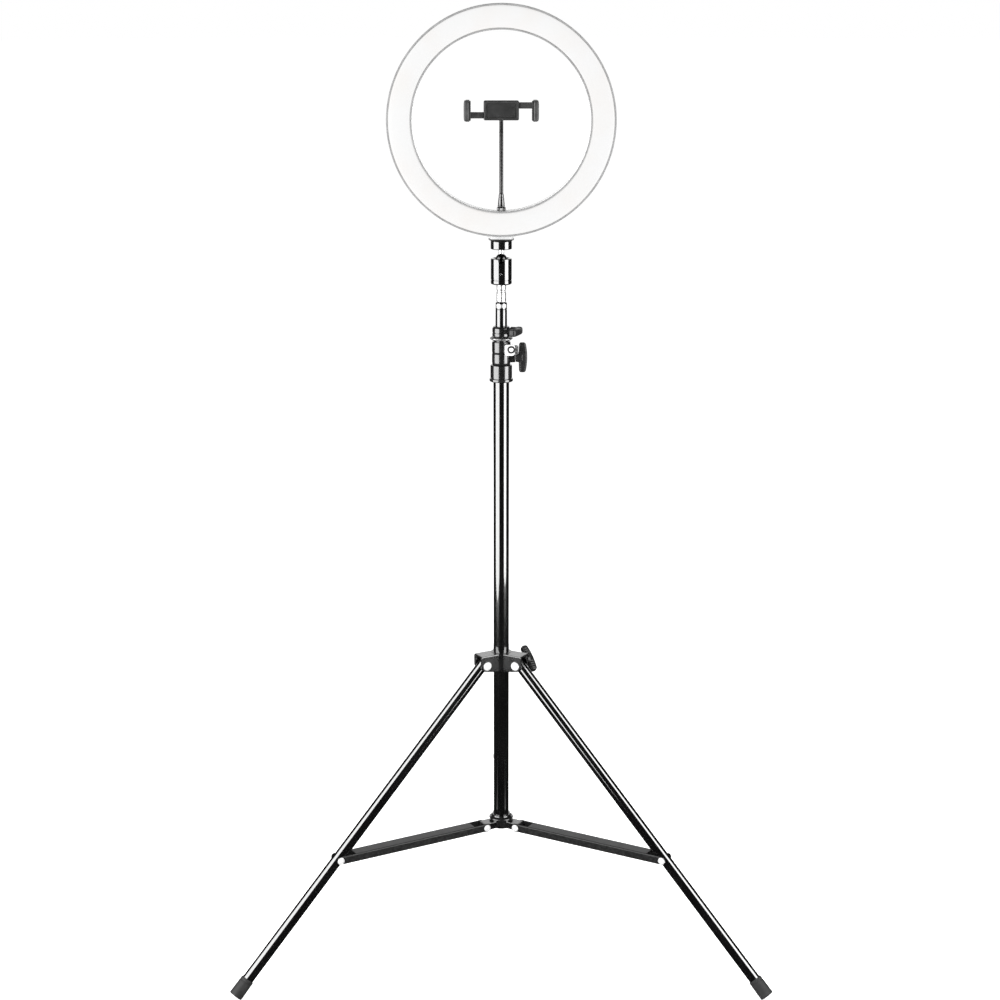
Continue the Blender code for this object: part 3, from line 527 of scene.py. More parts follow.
def build_ring():
    seam, seam_depth = 0.0046, 0.0003
    shell = lathe("ring_shell", [
        (RING_R, SHADE_EDGE_BACK), (RING_R, seam + 0.0003), (RING_R - seam_depth, seam + 0.0001),
        (RING_R - seam_depth, seam - 0.0001), (RING_R, seam - 0.0003), (RING_R, -REAR, 0.0042),
        (MIDDLE_R + 0.0072, -REAR, 0.0004), (MIDDLE_R + 0.0068, -REAR + 0.0004, 0.0004),
        (MIDDLE_R - 0.0068, -REAR + 0.0004, 0.0004), (MIDDLE_R - 0.0072, -REAR, 0.0004),
        (HOLE_R, -REAR, 0.0042), (HOLE_R, SLEEVE_LOW), (HOLE_R + 0.0008, SLEEVE_LOW),
        (HOLE_R + 0.0008, SHADE_EDGE_BACK),
        (HOLE_R + WALL, SHADE_EDGE_BACK), (HOLE_R + WALL, -REAR + WALL), (RING_R - WALL, -REAR + WALL),
        (RING_R - WALL, SHADE_EDGE_BACK),
    ], RING, 192)
    spots = [RING @ about("Z", 30 + 60 * k) @ Matrix.Translation((MIDDLE_R, 0, 0))
             for k in range(6)]
    wells = merged("tool", [rod(0.0031, -REAR - 0.001, -REAR + 0.0014, m, 32) for m in spots])
    plug_spot = RING @ Matrix.Translation((0, -MIDDLE_R, 0))
    cut(shell, wells, rod(0.0044, -REAR - 0.002, -REAR + 0.003, plug_spot, 48))
    # The shell wears the dimmed white that paints shade on its edges.
    piece(soften(shell, 0.00025), "shell_white", "rear_housing")
    sleeve = lathe("ring_sleeve", [
        (HOLE_R, SLEEVE_LOW + 0.0001, 0.0002), (HOLE_R, seam - 0.0003),
        (HOLE_R + seam_depth, seam - 0.0001), (HOLE_R + seam_depth, seam + 0.0001),
        (HOLE_R, seam + 0.0003), (HOLE_R, SHADE_EDGE_BACK), (HOLE_R + 0.0007, SHADE_EDGE_BACK),
        (HOLE_R + 0.0007, SLEEVE_LOW + 0.0001),
    ], RING, 192)
    piece(sleeve, "sleeve_white", body="ring_head")
    # Grey rings along the outer and inner front edges: painted shade, the outline that the white
    # shell's shaded edges would give.
    rims = [lathe("rim", [(one, RIM, 0.0006), (one, SHADE_EDGE_BACK + 0.0001), (two, SHADE_EDGE_BACK + 0.0001),
                          (two, RIM, 0.0003)], RING, 192)
            for one, two in ((RING_R, RING_R - WALL), (HOLE_R, HOLE_R + WALL))]
    piece(merged("ring_painted_edge_shade", rims), "edge_shade_grey", body="ring_head")

    screws = []
    for m in spots:
        head = lathe("screw", [(0, -0.0076), (0.0026, -0.0076), (0.0026, -0.0081, 0.0002),
                               (0.0016, -0.0085, 0.0008), (0, -0.0087)], m, 32)
        slots = [box("tool", (-a, -b, -0.0095), (a, b, -0.0083), m) for a, b in
                 ((0.0015, 0.0003), (0.0003, 0.0015))]
        screws.append(cut(head, *slots))
    piece(merged("ring_back_screws", screws), "black_plastic", body="ring_head", angle=30)

    rows = ((0.8662, 0.0118, 0.0074), (0.8667, 0.0130, 0.0080), (0.8673, 0.0138, 0.0083),
            (0.8678, 0.0141, 0.0084), (0.8682, 0.0134, 0.0083), (0.8687, 0.0131, 0.0083),
            (0.8693, 0.0134, 0.0083), (0.8699, 0.0141, 0.0083), (0.8706, 0.0152, 0.0083),
            (0.8713, 0.0168, 0.0083), (0.8720, 0.0190, 0.0083), (0.8727, 0.0222, 0.0083),
            (0.8733, 0.0238, 0.0082), (0.8762, 0.0230, 0.0080))
    # The neck wears the same dimmed white that paints shade.
    piece(stacked("ring_neck", rows), "shell_white", "rear_housing")
    # A thin dark band under the neck's base flange: painted shade for the flange's shaded
    # underside.
    rows = ((0.8660, 0.0118, 0.0076), (0.8661, 0.0126, 0.0081), (0.8665, 0.0136, 0.0086),
            (0.8670, 0.0143, 0.0088), (0.8675, 0.0147, 0.0089), (0.8678, 0.0147, 0.0089),
            (0.8678, 0.0143, 0.0086), (0.8673, 0.0140, 0.0085), (0.8667, 0.0132, 0.0083),
            (0.8663, 0.0120, 0.0077))
    piece(stacked("neck_painted_shade_band", rows), "rubber", body="ring_head")

    edge, low, lip = WALL + 0.0003, 0.0040, 0.0084
    width = RING_R - HOLE_R - 2 * edge
    dome = [(RING_R - edge - width * k / 28, lip + (FRONT - lip) * sin(pi * k / 28) ** 0.45)
            for k in range(1, 28)]
    diffuser = lathe("diffuser", [(RING_R - edge, low), (RING_R - edge, lip)] + dome
                     + [(HOLE_R + edge, lip), (HOLE_R + edge, low)], RING, 192)
    piece(diffuser, "diffuser", "front_diffuser", angle=60)

    socket = lathe("charge_socket", [
        (0, 0.0080), (0.0008, 0.0080, 0.0003), (0.0008, 0.0056), (0.0028, 0.0056),
        (0.0028, 0.0098, 0.0002), (0.0041, 0.0098, 0.0005), (0.0041, 0.0046), (0, 0.0046),
    ], at(z=RING_Z - MIDDLE_R) @ TO_REAR, 64)
    piece(socket, "black_plastic", "power_socket")


def build_phone_arm():
    low, high = span("holder_nut")
    nut = lathe("holder_base_nut", [
        (0, high), (0.0040, high, 0.0004), (0.0052, high - 0.0016, 0.0004),
        (0.0052, high - 0.0046, 0.0003), (0.0023, high - 0.0046), (0.0023, low), (0, low),
    ], at(), 144, (24, 0.0004, high - 0.0044, high - 0.0014, 0.0044))
    piece(nut, "black_gloss", "holder_nut")
    low, high = span("arm_ferrule")
    ferrule = lathe("gooseneck_ferrule", [
        (0, high), (0.0027, high, 0.0004), (0.0031, high - 0.0030), (0.0029, high - 0.0032),
        (0.0029, high - 0.0038), (0.0032, high - 0.0040), (0.0037, low + 0.0050, 0.0006),
        (0.0040, low + 0.0020), (0.0037, low + 0.0018), (0.0037, low + 0.0013),
        (0.0042, low + 0.0010), (0.0043, low, 0.0003), (0, low),
    ], at(), 72)
    piece(ferrule, "cast_black", "arm_ferrule")

    start, tip = Vector((0, 0, span("gooseneck")[0])), Vector((0, 0.0215, CLAMP_Z))
    pulls = (start + Vector((0, 0, 0.050)), tip + Vector((0, 0.034, 0)))
    path = [start - Vector((0, 0, 0.0004 * k)) for k in range(5, 0, -1)]
    for k in range(601):
        t = k / 600
        s = 1 - t
        path.append(start * s ** 3 + pulls[0] * 3 * s * s * t + pulls[1] * 3 * s * t * t
                    + tip * t ** 3)
    rows, travelled, due = [], 0.0, 0.0
    pitch, spacing = 0.0016, 0.0004
    for one, two in zip(path, path[1:]):
        travelled += (two - one).length
        if travelled < due and two is not path[-1]:
            continue
        due = travelled + spacing
        along = (two - one).normalized()
        across = along.cross(Vector((1, 0, 0)))
        radius = 0.0025 - 0.00038 * (0.5 - 0.5 * cos(2 * pi * travelled / pitch)) ** 0.7
        turns = [2 * pi * k / 24 for k in range(24)]
        rows.append([two + (Vector((1, 0, 0)) * cos(a) + across * sin(a)) * radius
                     for a in turns])
    neck = loft("gooseneck_tube", rows, at())
    dress(neck, "gooseneck_black", 60)
    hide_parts("gooseneck")
    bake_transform(neck)

    rear = at(z=CLAMP_Z) @ TO_REAR
    end = lathe("gooseneck_end", [
        (0, 0.0212), (0.0029, 0.0212, 0.0004), (0.0034, 0.0200, 0.0003), (0.0034, 0.0184),
        (0.0031, 0.0182), (0.0031, 0.0176), (0.0034, 0.0174), (0.0034, 0.0148, 0.0004),
        (0.0020, 0.0141, 0.0003), (0.0020, 0.0070), (0, 0.0070),
    ], rear, 72)
    piece(end, "chrome", "arm_tip")
    piece(lathe("holder_ball", ball_outline(0.0045, 0.0035), rear, 64), "chrome", "arm_ball")


CLAMP_Z = next(j["pos_m"][2] for j in frame["joints"] if j["name"] == "clamp_tilt")
CLAMP = at(y=0.0035, z=CLAMP_Z)
CLAMP_FRONT, CLAMP_REAR = -0.0163, -0.0063
RAIL_Y = (CLAMP_FRONT + CLAMP_REAR) / 2


def build_clamp():
    cavity = [(0.0048 * sin(pi / 2 * k / 10), -0.0048 * cos(pi / 2 * k / 10)) for k in range(1, 11)]
    socket = lathe("clamp_ball_socket", [(0, -0.0048)] + cavity + [
        (0.0046, 0.0030, 0.0003), (0.0066, 0.0030, 0.0004), (0.0075, 0.0020, 0.0004),
        (0.0075, -0.0060, 0.0003), (0, -0.0060),
    ], CLAMP @ TO_REAR, 144, (24, 0.00045, -0.0052, 0.0015, 0.0070))
    piece(socket, "black_plastic", "clamp_socket")

    body = box("clamp_block", (-0.020, CLAMP_FRONT, -0.011), (0.020, CLAMP_REAR, 0.011), CLAMP,
               0.0018, 4)
    slots = [box("tool", (-0.030, RAIL_Y - 0.0015 - RUN, level - 0.0035 - RUN),
                 (0.030, RAIL_Y + 0.0015 + RUN, level + 0.0035 + RUN), CLAMP)
             for level in (0.0055, -0.0055)]
    recess = box("tool", (-0.0165, CLAMP_FRONT - 0.001, -0.0080),
                 (0.0165, CLAMP_FRONT + 0.0008, 0.0080), CLAMP)
    back = [box("tool", (x - 0.0045, CLAMP_REAR - 0.0006, -0.0070),
                (x + 0.0045, CLAMP_REAR + 0.001, 0.0070), CLAMP) for x in (-0.0130, 0.0130)]
    piece(soften(cut(body, recess, *slots, *back), 0.0003), "black_plastic", "clamp_body")
    half, ribs, ribbed = 0.0160, 13, []
    for k in range(ribs * 8 + 1):
        level = 0.0076 - 0.0152 * k / (ribs * 8)
        ribbed.append((CLAMP_FRONT + 0.0005 - 0.00045 * abs(sin(pi * k / 8)) ** 0.6, level))
    outline = [(CLAMP_FRONT + 0.0012, -0.0076), (CLAMP_FRONT + 0.0012, 0.0076)] + ribbed
    rest = prism("phone_rest_pad", outline, half, CLAMP @ about("Z", 90))
    piece(rest, "rubber", body="clamp_frame", angle=50)

    for name, way, level in (("right", 1, 0.0055), ("left", -1, -0.0055)):
        near, far = 0.0360, 0.0425
        low_y, high_y = CLAMP_FRONT - 0.0100, RAIL_Y + 0.0030
        rows = []
        for k in range(33):
            u = -1 + 2 * k / 32
            swell = (1 - abs(u) ** 6) ** 0.35
            thick = (far - near) / 2 * (0.62 + 0.38 * swell)
            deep = (high_y - low_y) / 2 * (0.50 + 0.50 * swell)
            centre_x = near + thick
            rows.append([(way * (centre_x + x), (low_y + high_y) / 2 + y, u * 0.0120)
                         for x, y in oval(thick, deep, 4.5, 64)])
        jaw = loft("jaw_grip_" + name, rows, CLAMP)
        dish = lathe("tool", [(0, 1), (1, 1), (1, -1), (0, -1)],
                     CLAMP @ Matrix.Translation((way * (far + 0.0002), (low_y + high_y) / 2, 0))
                     @ about("Y", 90) @ Matrix.Diagonal((0.0078, 0.0052, 0.0010, 1)), 48)
        rail = box("rail", (-0.0120 if way > 0 else -0.0372, RAIL_Y - 0.0015, level - 0.0035),
                   (0.0372 if way > 0 else 0.0120, RAIL_Y + 0.0015, level + 0.0035), CLAMP)
        cut(jaw, dish)
        add(jaw, rail)
        piece(soften(jaw, 0.0003), "grey_plastic", "jaw_" + name)

        ribbed = []
        for k in range(9 * 8 + 1):
            v = 0.0108 - 0.0216 * k / 72
            ribbed.append((way * (0.0345 + 0.0004 - 0.0004 * abs(sin(pi * k / 8)) ** 0.6), v))
        outline = [(way * 0.0359, -0.0108), (way * 0.0359, 0.0108)] + ribbed
        pad = prism("jaw_pad_" + name, outline, (low_y + 0.0012, RAIL_Y - 0.0015 - RUN), CLAMP)
        piece(pad, "rubber", "pad_" + name, angle=50)


# ---------------------------------------------------------------- ball head and spigot
def build_head():
    low, high = span("platform")
    platform = lathe("head_platform", [
        (0.0034, high), (0.0121, high, 0.0003), (0.0125, high - 0.0006, 0.0003),
        (0.0125, low + 0.0006, 0.0008), (0.0115, low, 0.0005), (0.0034, low),
    ], at(), 96)
    piece(platform, "black_gloss", "platform")
    low, high = span("platform_stud")
    stud = lathe("head_stem", [
        (0, high), (0.0031, high, 0.0003), (0.0031, 0.8557), (0.0033, 0.8557, 0.0001),
        (0.0033, low - 0.0003), (0, low - 0.0003),
    ], at(), 64)
    piece(stud, "satin_chrome", "platform_stud")
    ball_low, ball_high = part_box("ball")
    radius = (ball_high.z - ball_low.z) / 2
    piece(lathe("head_ball_steel", ball_outline(radius, ball_low.z + radius, 40), at(), 96),
          "dark_chrome", "ball")

    low, high = span("ball_housing")
    outer, bore, mouth, cup_floor = 0.0124, 0.00705, 0.0100, 0.8350
    housing = lathe("head_housing", [
        (outer, high, 0.0010), (outer, low + 0.0061), (outer - 0.0004, low + 0.0058),
        (outer - 0.0004, low + 0.0051), (outer, low + 0.0048), (outer, low + 0.0012, 0.0012),
        (outer - 0.0015, low, 0.0006), (0.0035, low), (0.0035, cup_floor), (bore, cup_floor),
        (bore, high - 0.0019, 0.0004), (mouth, high, 0.0005),
    ], at(), 128)
    notch_r, notch_z = 0.0036, 0.8438
    arc = [(notch_r * cos(a), notch_z + notch_r * sin(a)) for a in
           (pi + pi * k / 24 for k in range(25))]
    notch = prism("tool", arc + [(notch_r, 0.850), (-notch_r, 0.850)], (-0.0165, -0.0045), at())
    lock = at(z=LOCK_Z) @ TO_REAR
    seat = at(z=SEAT_SCREW_Z) @ TO_FRONT
    cut(housing, notch, rod(0.0029, 0.005, 0.016, lock), rod(0.0017, 0.0085, 0.016, seat, 32))
    piece(soften(housing, 0.0004, 3), "black_gloss", "ball_housing")
    screw = lathe("head_seat_screw", [
        (0, 0.0112), (0.0007, 0.0112), (0.0007, 0.0119, 0.0001), (0.0014, 0.0119, 0.0002),
        (0.0014, 0.0090), (0, 0.0090)], seat, 32)
    piece(screw, "chrome", "seat_screw")
    knob = lathe("head_lock_knob", [
        (0, 0.0259), (0.0036, 0.0259, 0.0006), (0.0042, 0.0262, 0.0004), (0.0054, 0.0262, 0.0006),
        (0.0062, 0.0250, 0.0005), (0.0062, 0.0171, 0.0007), (0.0040, 0.0156, 0.0005),
        (0.0040, 0.01315), (0.0026, 0.01315), (0.0026, 0.0060), (0, 0.0060),
    ], lock, 160, (20, 0.0007, 0.0172, 0.0252, 0.0050))
    piece(knob, "black_plastic", "lock_knob")

    low, high = span("spigot")
    spigot = lathe("head_spigot", [
        (0, high), (0.0032, high, 0.0003), (0.0032, 0.8150), (0.0050, 0.8150, 0.0002),
        (0.0055, 0.8143, 0.0003), (0.0055, 0.8090, 0.0003), (0.0049, 0.8082, 0.0003),
        (0.0049, 0.8064, 0.0003), (0.0055, 0.8056, 0.0003), (0.0055, 0.7953, 0.0003),
        (0.0050, 0.7945), (0.0032, 0.7945), (0.0032, low), (0, low),
    ], at(), 96)
    piece(spigot, "satin_chrome", "spigot")
    low, high = span("top_plug")
    band_high, band_low, seat = high - 0.0017, high - 0.0066, 0.7863
    plug = lathe("top_tube_plug", [
        (0, low + 0.0096), (0.0035, low + 0.0096), (0.0035, high), (0.0060, high, 0.0004),
        (0.0067, high - 0.0008, 0.0004), (0.0067, band_high, 0.0002), (0.0059, band_high),
        (0.0059, band_low), (0.0067, band_low, 0.0002), (0.0067, seat, 0.0002), (0.0054, seat),
        (0.0054, low), (0, low),
    ], at(), 96)
    piece(plug, "black_gloss", "top_plug")
    band = lathe("top_tube_band", [
        (0.0066, band_high - 0.0001, 0.0003), (0.0066, band_low + 0.0001, 0.0003),
        (0.0059, band_low + 0.0001), (0.0059, band_high - 0.0001)], at(), 96)
    piece(band, "satin_chrome", body="top_stage")


# ---------------------------------------------------------------- telescopic stand
def tube(name, node, outer, inner):
    low, high = span(node)
    obj = lathe(name, [(outer, high, 0.0004), (outer, low, 0.0004), (inner, low, 0.0003),
                       (inner, high, 0.0003)], at(), 96)
    piece(obj, "black_metal", node)


def t_knob(name, node, matrix, hub, length, turn):
    """Moulded T-handle: a plain round hub on +Z, and a ribbed bar with an arched outer face."""
    half, rows = length / 2, []
    count = 72
    for k in range(count + 1):
        x = -half + length * k / count
        u = abs(x) / half
        round_off = min(1.0, max(0.0, (1 - u) / 0.11)) ** 0.5 * 0.42 + 0.58
        if u > 0.999:
            round_off = 0.45
        rib = 0.00045 * max(0.0, sin(2 * pi * x / 0.0030 + pi / 2)) * (1 if 0.30 < u < 0.93 else 0)
        outer = hub + 0.0100 - 0.0020 * u * u
        inner = hub + 0.0006 * u * u
        depth, middle = (outer - inner) / 2, (outer + inner) / 2
        wide = 0.0044 * (0.90 + 0.10 * u)
        rows.append([(x, y, middle + z) for y, z in
                     oval((wide - rib) * round_off, depth * round_off, 4, 40)])
    bar = loft(name, rows, matrix @ about("Z", turn))
    core = lathe("hub", [
        (0, hub + 0.004), (0.0056, hub + 0.004), (0.0056, 0.0004, 0.0006), (0.0050, 0, 0.0003),
        (0.0031, 0), (0.0031, hub - 0.0008), (0, hub - 0.0008)], matrix @ about("Z", turn), 96)
    add(bar, core)
    return piece(cast(bar, 0.0004, 3), "knob_plastic", node)


def radial(azimuth, radius, height):
    """A frame with +Z outward along an azimuth."""
    return side(azimuth, radius, height) @ about("Y", 90)


def build_stand():
    tube("stand_top_tube", "top_tube", TOP_TUBE_R, 0.0058)
    tube("stand_mid_tube", "mid_tube", MID_TUBE_R, 0.0071)
    tube("stand_column_tube", "column_tube", COLUMN_R, 0.00835)
    low, high = span("column_plug")
    plug = lathe("column_foot_plug", [
        (0, high), (0.0080, high), (0.0080, low + 0.0042), (COLUMN_R, low + 0.0042, 0.0003),
        (COLUMN_R, low + 0.0010, 0.0004), (0.0080, low, 0.0006), (0, low)], at(), 72)
    piece(plug, "black_plastic", "column_plug")

    top = span("upper_collar")[1]
    low = span("upper_collar")[0]
    axis = radial(-20, 0, UPPER_SCREW_Z)
    collar = lathe("upper_clamp_collar", [
        (0.0090, top, 0.0005), (0.0104, top - 0.0020, 0.0006), (0.0104, top - 0.0068),
        (0.0100, top - 0.0071), (0.0100, top - 0.0076), (0.0104, top - 0.0079),
        (0.0104, low, 0.0005), (0.0083, low), (0.0083, 0.7618), (0.00705, 0.7618),
        (0.00705, top, 0.0004)], at(), 96)
    add(collar, lathe("boss", [(0, 0.0113), (0.0042, 0.0113, 0.0005), (0.0046, 0.0088),
                               (0, 0.0088)], axis, 48))
    cut(collar, rod(0.0030, 0.0060, 0.0130, axis), rod(0.00832, 0.7540, 0.7618, at(), 96))
    piece(soften(collar, 0.0003), "cast_black", "upper_collar")
    low, high = span("upper_flange")
    middle = (low + high) / 2
    flange = lathe("upper_flange_ring", [
        (0.0092, high, 0.0004), (0.0110, high - 0.0007, 0.002), (0.0132, middle + 0.0005, 0.0005),
        (0.0132, middle - 0.0005, 0.0005), (0.0110, low + 0.0007, 0.002), (0.0092, low, 0.0004),
        (0.0083, low), (0.0083, high)], at(), 128)
    piece(flange, "worn_chrome", "upper_flange")
    t_knob("upper_t_knob", "upper_knob", axis @ Matrix.Translation((0, 0, 0.0116)), 0.0020,
           0.0280, 90)

    low, high = span("lower_collar")
    step = 0.7218
    axis = radial(0, 0, LOWER_SCREW_Z)
    collar = lathe("lower_clamp_collar", [
        (0.0100, high, 0.0005), (0.0108, high - 0.0010, 0.0004), (0.0108, high - 0.0125, 0.0003),
        (0.0099, high - 0.0128), (0.0099, high - 0.0144), (0.0108, high - 0.0147, 0.0003),
        (0.0108, high - 0.0252, 0.0003), (0.0099, high - 0.0255), (0.0099, high - 0.0272),
        (0.0126, high - 0.0281, 0.0006), (0.0126, low + 0.0046), (0.0122, low + 0.0043),
        (0.0122, low + 0.0039), (0.0137, low + 0.0034, 0.0006), (0.0137, low + 0.0006, 0.0008),
        (0.0128, low, 0.0004), (0.00945, low), (0.00945, step), (0.00835, step),
        (0.00835, high, 0.0004)], at(), 128)
    for name, mid, half in (("upper", high - 0.0136, 0.0008), ("lower", high - 0.02635, 0.00085)):
        band = lathe("collar_band_" + name, [
            (0.0105, mid + half, 0.0003), (0.0105, mid - half, 0.0003), (0.0098, mid - half),
            (0.0098, mid + half)], at(), 96)
        piece(band, "groove_black", body="column")
    lug = box("lug", (0.0070, -0.0108, 0.7325), (0.0160, -0.0050, 0.7450), at(), 0.0012)
    add(collar, lug, lathe("boss", [(0, 0.0165), (0.0058, 0.0165, 0.0008), (0.0062, 0.0095),
                                    (0, 0.0095)], axis, 48))
    cut(collar, rod(0.0030, 0.0060, 0.0180, axis), rod(0.00837, step, 0.7500, at(), 96))
    piece(soften(collar, 0.0003), "cast_black", "lower_collar")
    outline = rounded([(0.0040, 0.7332, 0.002), (0.0156, 0.7332, 0.003), (0.0156, 0.7462, 0.002),
                       (0.0040, 0.7462, 0.002)])
    plate = prism("clamp_cover_plate", outline, (-0.0128, -0.0111), at())
    piece(soften(plate, 0.0004, 3), "zinc", "clamp_plate")
    outline = rounded([(0.0150, 0.7338, 0.001), (0.0199, 0.7348, 0.002), (0.0199, 0.7456, 0.002),
                       (0.0150, 0.7456, 0.001)])
    tail = prism("clamp_plate_tail", outline, (-0.0122, -0.0108), at())
    piece(soften(tail, 0.0004, 3), "worn_chrome", body="column")
    rivet = at(0.0116, 0, 0.7404) @ TO_FRONT
    ring = lathe("clamp_rivet_ring", [(0.0044, 0.0133, 0.0002), (0.0044, 0.0126), (0.0020, 0.0126),
                                      (0.0020, 0.0133, 0.0002)], rivet, 48)
    piece(ring, "black_plastic", body="column")
    dome = lathe("clamp_rivet", [(0, 0.0145), (0.0014, 0.0142, 0.001), (0.0025, 0.0134, 0.0004),
                                 (0.0025, 0.0126), (0, 0.0126)], rivet, 48)
    piece(dome, "zinc", body="column")
    t_knob("lower_t_knob", "lower_knob", axis @ Matrix.Translation((0, 0, 0.0168)), 0.0035,
           0.0350, 0)


# ---------------------------------------------------------------- tripod
def arc_xz(centre, radius, first, last, steps=20):
    return [(centre[0] + radius * cos(radians(first + (last - first) * k / steps)),
             centre[1] + radius * sin(radians(first + (last - first) * k / steps)))
            for k in range(steps + 1)]


def build_crown():
    low, high = span("crown")
    slot, ear, ear_r = 0.00705, 0.0024, 0.0076
    top, roof, inside, end = high - 0.0006, 0.3664, 0.0070, PIVOT_R + ear_r
    crown = lathe("crown_casting", [(0.0118, high), (0.0126, high - 0.0010), (0.0126, low + 0.0004),
                                    (0.0060, low + 0.0004), (0.0060, high)], at(), 96)
    ears, slots = [], []
    for azimuth in LEGS.values():
        frame_here = side(azimuth, 0, 0)
        outline = arc_xz((PIVOT_R, CROWN_PIVOT_Z), ear_r, 0, -70)
        outline += [(0.013, low + 0.0006), (inside, low + 0.0006), (inside, top)]
        outline += arc_xz((end - 0.0020, top - 0.0020), 0.0020, 90, 0, 6)
        ears.append(prism("ear", outline, slot + ear, frame_here))
        slots.append(box("tool", (0.0146, -slot, 0.330), (0.040, slot, roof), frame_here))
    axis = radial(30, 0, CROWN_SCREW_Z)
    boss = lathe("boss", [(0, 0.0290), (0.0062, 0.0290, 0.0008), (0.0064, 0.0090), (0, 0.0090)],
                 axis, 48)
    add(crown, *ears, boss)
    cut(crown, *slots)
    cast(crown, 0.00055, 3)
    holes = [rod(0.0027, -0.014, 0.014, side(a, PIVOT_R, CROWN_PIVOT_Z) @ TO_FRONT, 32)
             for a in LEGS.values()]
    cut(crown, rod(0.0095, 0.330, 0.380, at(), 96), rod(0.0032, 0.006, 0.031, axis), *holes)
    piece(crown, "cast_black", "crown", angle=50)
    t_knob("crown_t_knob", "crown_knob", radial(30, 0.0293, CROWN_SCREW_Z), 0.0050, 0.0350, -48)


def build_hub():
    low, high = span("hub")
    lug = 0.0170 / 2 - 0.0012 - 0.0003
    hub = lathe("hub_casting", [
        (0.0110, high), (0.0118, high - 0.0016), (0.0148, high - 0.0036), (0.0148, high - 0.0046),
        (0.0128, high - 0.0056),
        (0.0128, low + 0.0003), (0.0070, low + 0.0003), (0.0070, high)], at(), 96)
    lugs = []
    for azimuth in LEGS.values():
        outline = arc_xz((PIVOT_R, HUB_PIVOT_Z), 0.0044, 90, -90)
        outline += [(0.0080, max(low + 0.0006, HUB_PIVOT_Z - 0.0044)),
                    (0.0080, HUB_PIVOT_Z + 0.0044)]
        lugs.append(prism("lug", outline, lug, side(azimuth, 0, 0)))
    add(hub, *lugs)
    cast(hub, 0.0005, 3)
    holes = [rod(0.0024, -0.012, 0.012, side(a, PIVOT_R, HUB_PIVOT_Z) @ TO_FRONT, 32)
             for a in LEGS.values()]
    cut(hub, rod(0.00945, low - 0.01, high + 0.01, at(), 96), *holes)
    piece(hub, "cast_black", "hub", angle=50)


def bolt(name, node, matrix, shank, grip, head_r):
    """A domed bolt through a pivot, with its washer and a hex nut on the far side."""
    lip = grip + 0.0003
    head = lathe(name, [
        (0, lip + 0.0026), (head_r * 0.74, lip + 0.0023, 0.0012), (head_r, lip + 0.0012, 0.0004),
        (head_r, lip + 0.0001), (shank, lip + 0.0001), (shank, -lip), (0, -lip)], matrix, 64)
    flats = head_r * 0.95
    nut = lathe("nut", [
        (0, -lip - 0.0026), (head_r * 0.72, -lip - 0.0026, 0.0002), (flats, -lip - 0.0021, 0.0002),
        (flats, -lip - 0.0002, 0.0002), (0, -lip - 0.0002)], matrix, 6)
    piece(merged(name, [head, nut]), "zinc", node, angle=28)
    washer = lathe(name + "_washer", [(head_r * 1.22, lip + 0.0005, 0.0002), (head_r * 1.22, grip),
                                      (shank, grip), (shank, lip + 0.0005)], matrix, 64)
    piece(washer, "black_plastic", body=frame["nodes"][node]["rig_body"])


def build_leg(name, azimuth):
    pivot = side(azimuth, PIVOT_R, CROWN_PIVOT_Z)
    slant = pivot @ Matrix.Rotation(-LEG_ANGLE, 4, "Y")
    end = (CROWN_PIVOT_Z + 0.0012 - 0.0082 * sin(LEG_ANGLE)) / cos(LEG_ANGLE)
    leg = lathe("leg_tube_" + name, [(0.0067, 0.0060, 0.0004), (0.0067, -end + 0.0035, 0.0004),
                                     (0.0055, -end + 0.0035, 0.0003), (0.0055, 0.0060, 0.0003)],
                slant, 96)
    piece(leg, "black_metal", "leg_" + name)
    cap = lathe("leg_cap_" + name, [(0, 0.0064), (0.0048, 0.0063, 0.0008), (0.0062, 0.0056, 0.0006),
                                    (0.0056, 0.0040), (0, 0.0040)], slant, 64)
    piece(cap, "grey_plastic", body="leg_%s_body" % name)
    high = -end + 0.0240
    foot = lathe("foot_cap_" + name, [
        (0, -end + 0.0032), (0.0070, -end + 0.0032), (0.0070, high), (0.0076, high, 0.0004),
        (0.0080, high - 0.0016, 0.0004), (0.0080, high - 0.0040, 0.0002), (0.0077, high - 0.0043),
        (0.0077, high - 0.0049), (0.0081, high - 0.0052, 0.0002), (0.0082, -end, 0.0009), (0, -end),
    ], slant, 96)
    cut(foot, box("tool", (-0.5, -0.5, -0.05), (0.5, 0.5, 0), Matrix.Identity(4)))
    piece(soften(foot, 0.0003), "rubber", "foot_" + name)
    way = HEAD_SIDE[name]
    bolt("leg_pivot_bolt_" + name, "leg_bolt_" + name, pivot @ about("X", -90 * way), 0.0025,
         0.00945, 0.0052)


